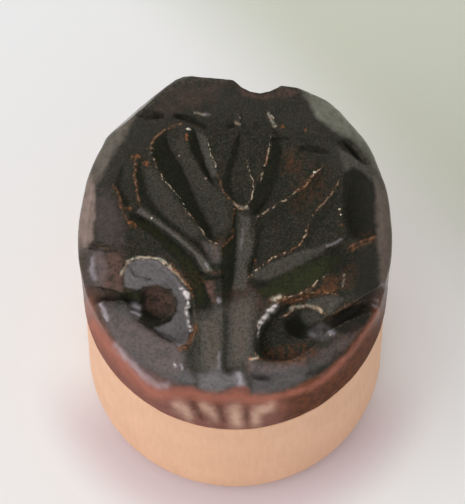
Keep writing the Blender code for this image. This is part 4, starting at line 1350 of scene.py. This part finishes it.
class SEAL_OT_head(bpy.types.Operator):
    """Carve the dark head over its solid"""

    bl_idname = "seal.head"
    bl_label = "Carve the head"

    def execute(self, context):
        settings = context.scene.seal_head
        head = show(carve_head(settings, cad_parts["carved_head"]), head_material(settings))
        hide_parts("carved_head")
        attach(head, "root")
        return {"FINISHED"}


class SEAL_OT_shank(bpy.types.Operator):
    """Turn the pale shank over its solid"""

    bl_idname = "seal.shank"
    bl_label = "Turn the shank"

    def execute(self, context):
        settings = context.scene.seal_shank
        shank = show(turn_shank(settings), shank_material(settings))
        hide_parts("shank")
        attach(shank, "root")
        return {"FINISHED"}


class SEAL_OT_stage(bpy.types.Operator):
    """Lay the paper, light it and set the camera"""

    bl_idname = "seal.stage"
    bl_label = "Set the stage"

    def execute(self, context):
        settings = context.scene.seal_stage
        half = settings.floor_size / 2
        corners = np.array([(-half, -half, 0), (half, -half, 0), (half, half, 0), (-half, half, 0)])
        floor = bpy.data.objects.new("paper", mesh_from("paper", corners, [(0, 1, 2, 3)]))
        show(floor, floor_material(settings))
        set_world()
        hang_light("window", WINDOW_PLACE, WINDOW_SIZE, WINDOW_POWER, WINDOW_COLOUR)
        set_camera(settings, context.scene.seal_head.face_height)
        context.scene.view_settings.view_transform = "Standard"
        return {"FINISHED"}


# The studio's light: strength overhead, what is added high, low and on the bright side, and the window
BRIGHT_SIDE = Vector((-0.80, -0.35, 0.45)).normalized()
SKY_COLOUR = (0.985, 0.985, 0.97)
OVERHEAD = 0.48
ADDED_HIGH, ADDED_LOW, ADDED_BRIGHT = 0.30, 0.48, 0.55
WINDOW_PLACE = (-0.42, -0.18, 0.34)
WINDOW_SIZE = 0.40
WINDOW_POWER = 0.8
WINDOW_COLOUR = (0.98, 0.98, 1.0)


def set_world():
    """Soft light from all round: brighter from the front left, dim overhead where the camera is."""
    recipe = Recipe(bpy.data.worlds.new("studio"), "Background")
    towards = recipe.node("ShaderNodeTexCoord", output="Generated")
    nearness = recipe.along(towards, BRIGHT_SIDE)
    height = recipe.along(towards, (0, 0, 1))
    strength = OVERHEAD + recipe.between(height, 0.94, 0.60) * ADDED_HIGH
    strength = strength + recipe.between(height, 0.60, 0.05) * ADDED_LOW
    strength = strength + recipe.between(nearness, 0.2, 1.0) * ADDED_BRIGHT
    bpy.context.scene.world = recipe.finish(Color=SKY_COLOUR, Strength=strength)


def hang_light(name, place, size, power, colour):
    light = bpy.data.lights.new(name, "AREA")
    light.shape = "SQUARE"
    light.size = size
    light.energy = power
    light.color = colour
    lamp = bpy.data.objects.new(name, light)
    lamp.location = place
    lamp.rotation_euler = (-Vector(place)).to_track_quat("-Z", "Y").to_euler()
    bpy.context.scene.collection.objects.link(lamp)


def set_camera(settings, height):
    lens = bpy.data.cameras.new("camera")
    lens.sensor_fit = "HORIZONTAL"
    lens.sensor_width = 36
    lens.lens = lens.sensor_width * settings.pixels_per_metre * settings.camera_distance / PICTURE_WIDTH
    lens.shift_x = -(FACE_SHOWS_AT[0] - PICTURE_WIDTH / 2) / PICTURE_WIDTH
    lens.shift_y = (FACE_SHOWS_AT[1] - PICTURE_HEIGHT / 2) / PICTURE_WIDTH
    lens.clip_start = 0.01
    camera = bpy.data.objects.new("camera", lens)
    bpy.context.scene.collection.objects.link(camera)
    turn = Euler((settings.camera_tilt, 0, 0)).to_matrix().to_4x4()
    target = Matrix.Translation((0, 0, height))
    camera.matrix_world = target @ turn @ Matrix.Translation((0, 0, settings.camera_distance))
    bpy.context.scene.camera = camera


class SEAL_PT_panel(bpy.types.Panel):
    """The seal's pieces and their settings"""

    bl_idname = "SEAL_PT_panel"
    bl_label = "Stamp Seal"
    bl_space_type = "VIEW_3D"
    bl_region_type = "UI"
    bl_category = "Stamp Seal"

    def draw(self, context):
        for operator in OPERATORS:
            self.layout.operator(operator.bl_idname)
        for name in GROUPS:
            settings = getattr(context.scene, name)
            box = self.layout.box()
            for key in settings.__annotations__:
                box.prop(settings, key)


OPERATORS = [SEAL_OT_head, SEAL_OT_shank, SEAL_OT_stage]
GROUPS = {"seal_head": HeadSettings, "seal_shank": ShankSettings, "seal_stage": StageSettings}


def register():
    for kind in [*GROUPS.values(), *OPERATORS, SEAL_PT_panel]:
        bpy.utils.register_class(kind)
    for name, kind in GROUPS.items():
        setattr(bpy.types.Scene, name, PointerProperty(type=kind))


def unregister():
    for name in GROUPS:
        delattr(bpy.types.Scene, name)
    for kind in [SEAL_PT_panel, *OPERATORS, *GROUPS.values()]:
        bpy.utils.unregister_class(kind)


def main():
    register()
    bpy.ops.seal.head()
    bpy.ops.seal.shank()
    bpy.ops.seal.stage()


if __name__ == "__main__":
    main()
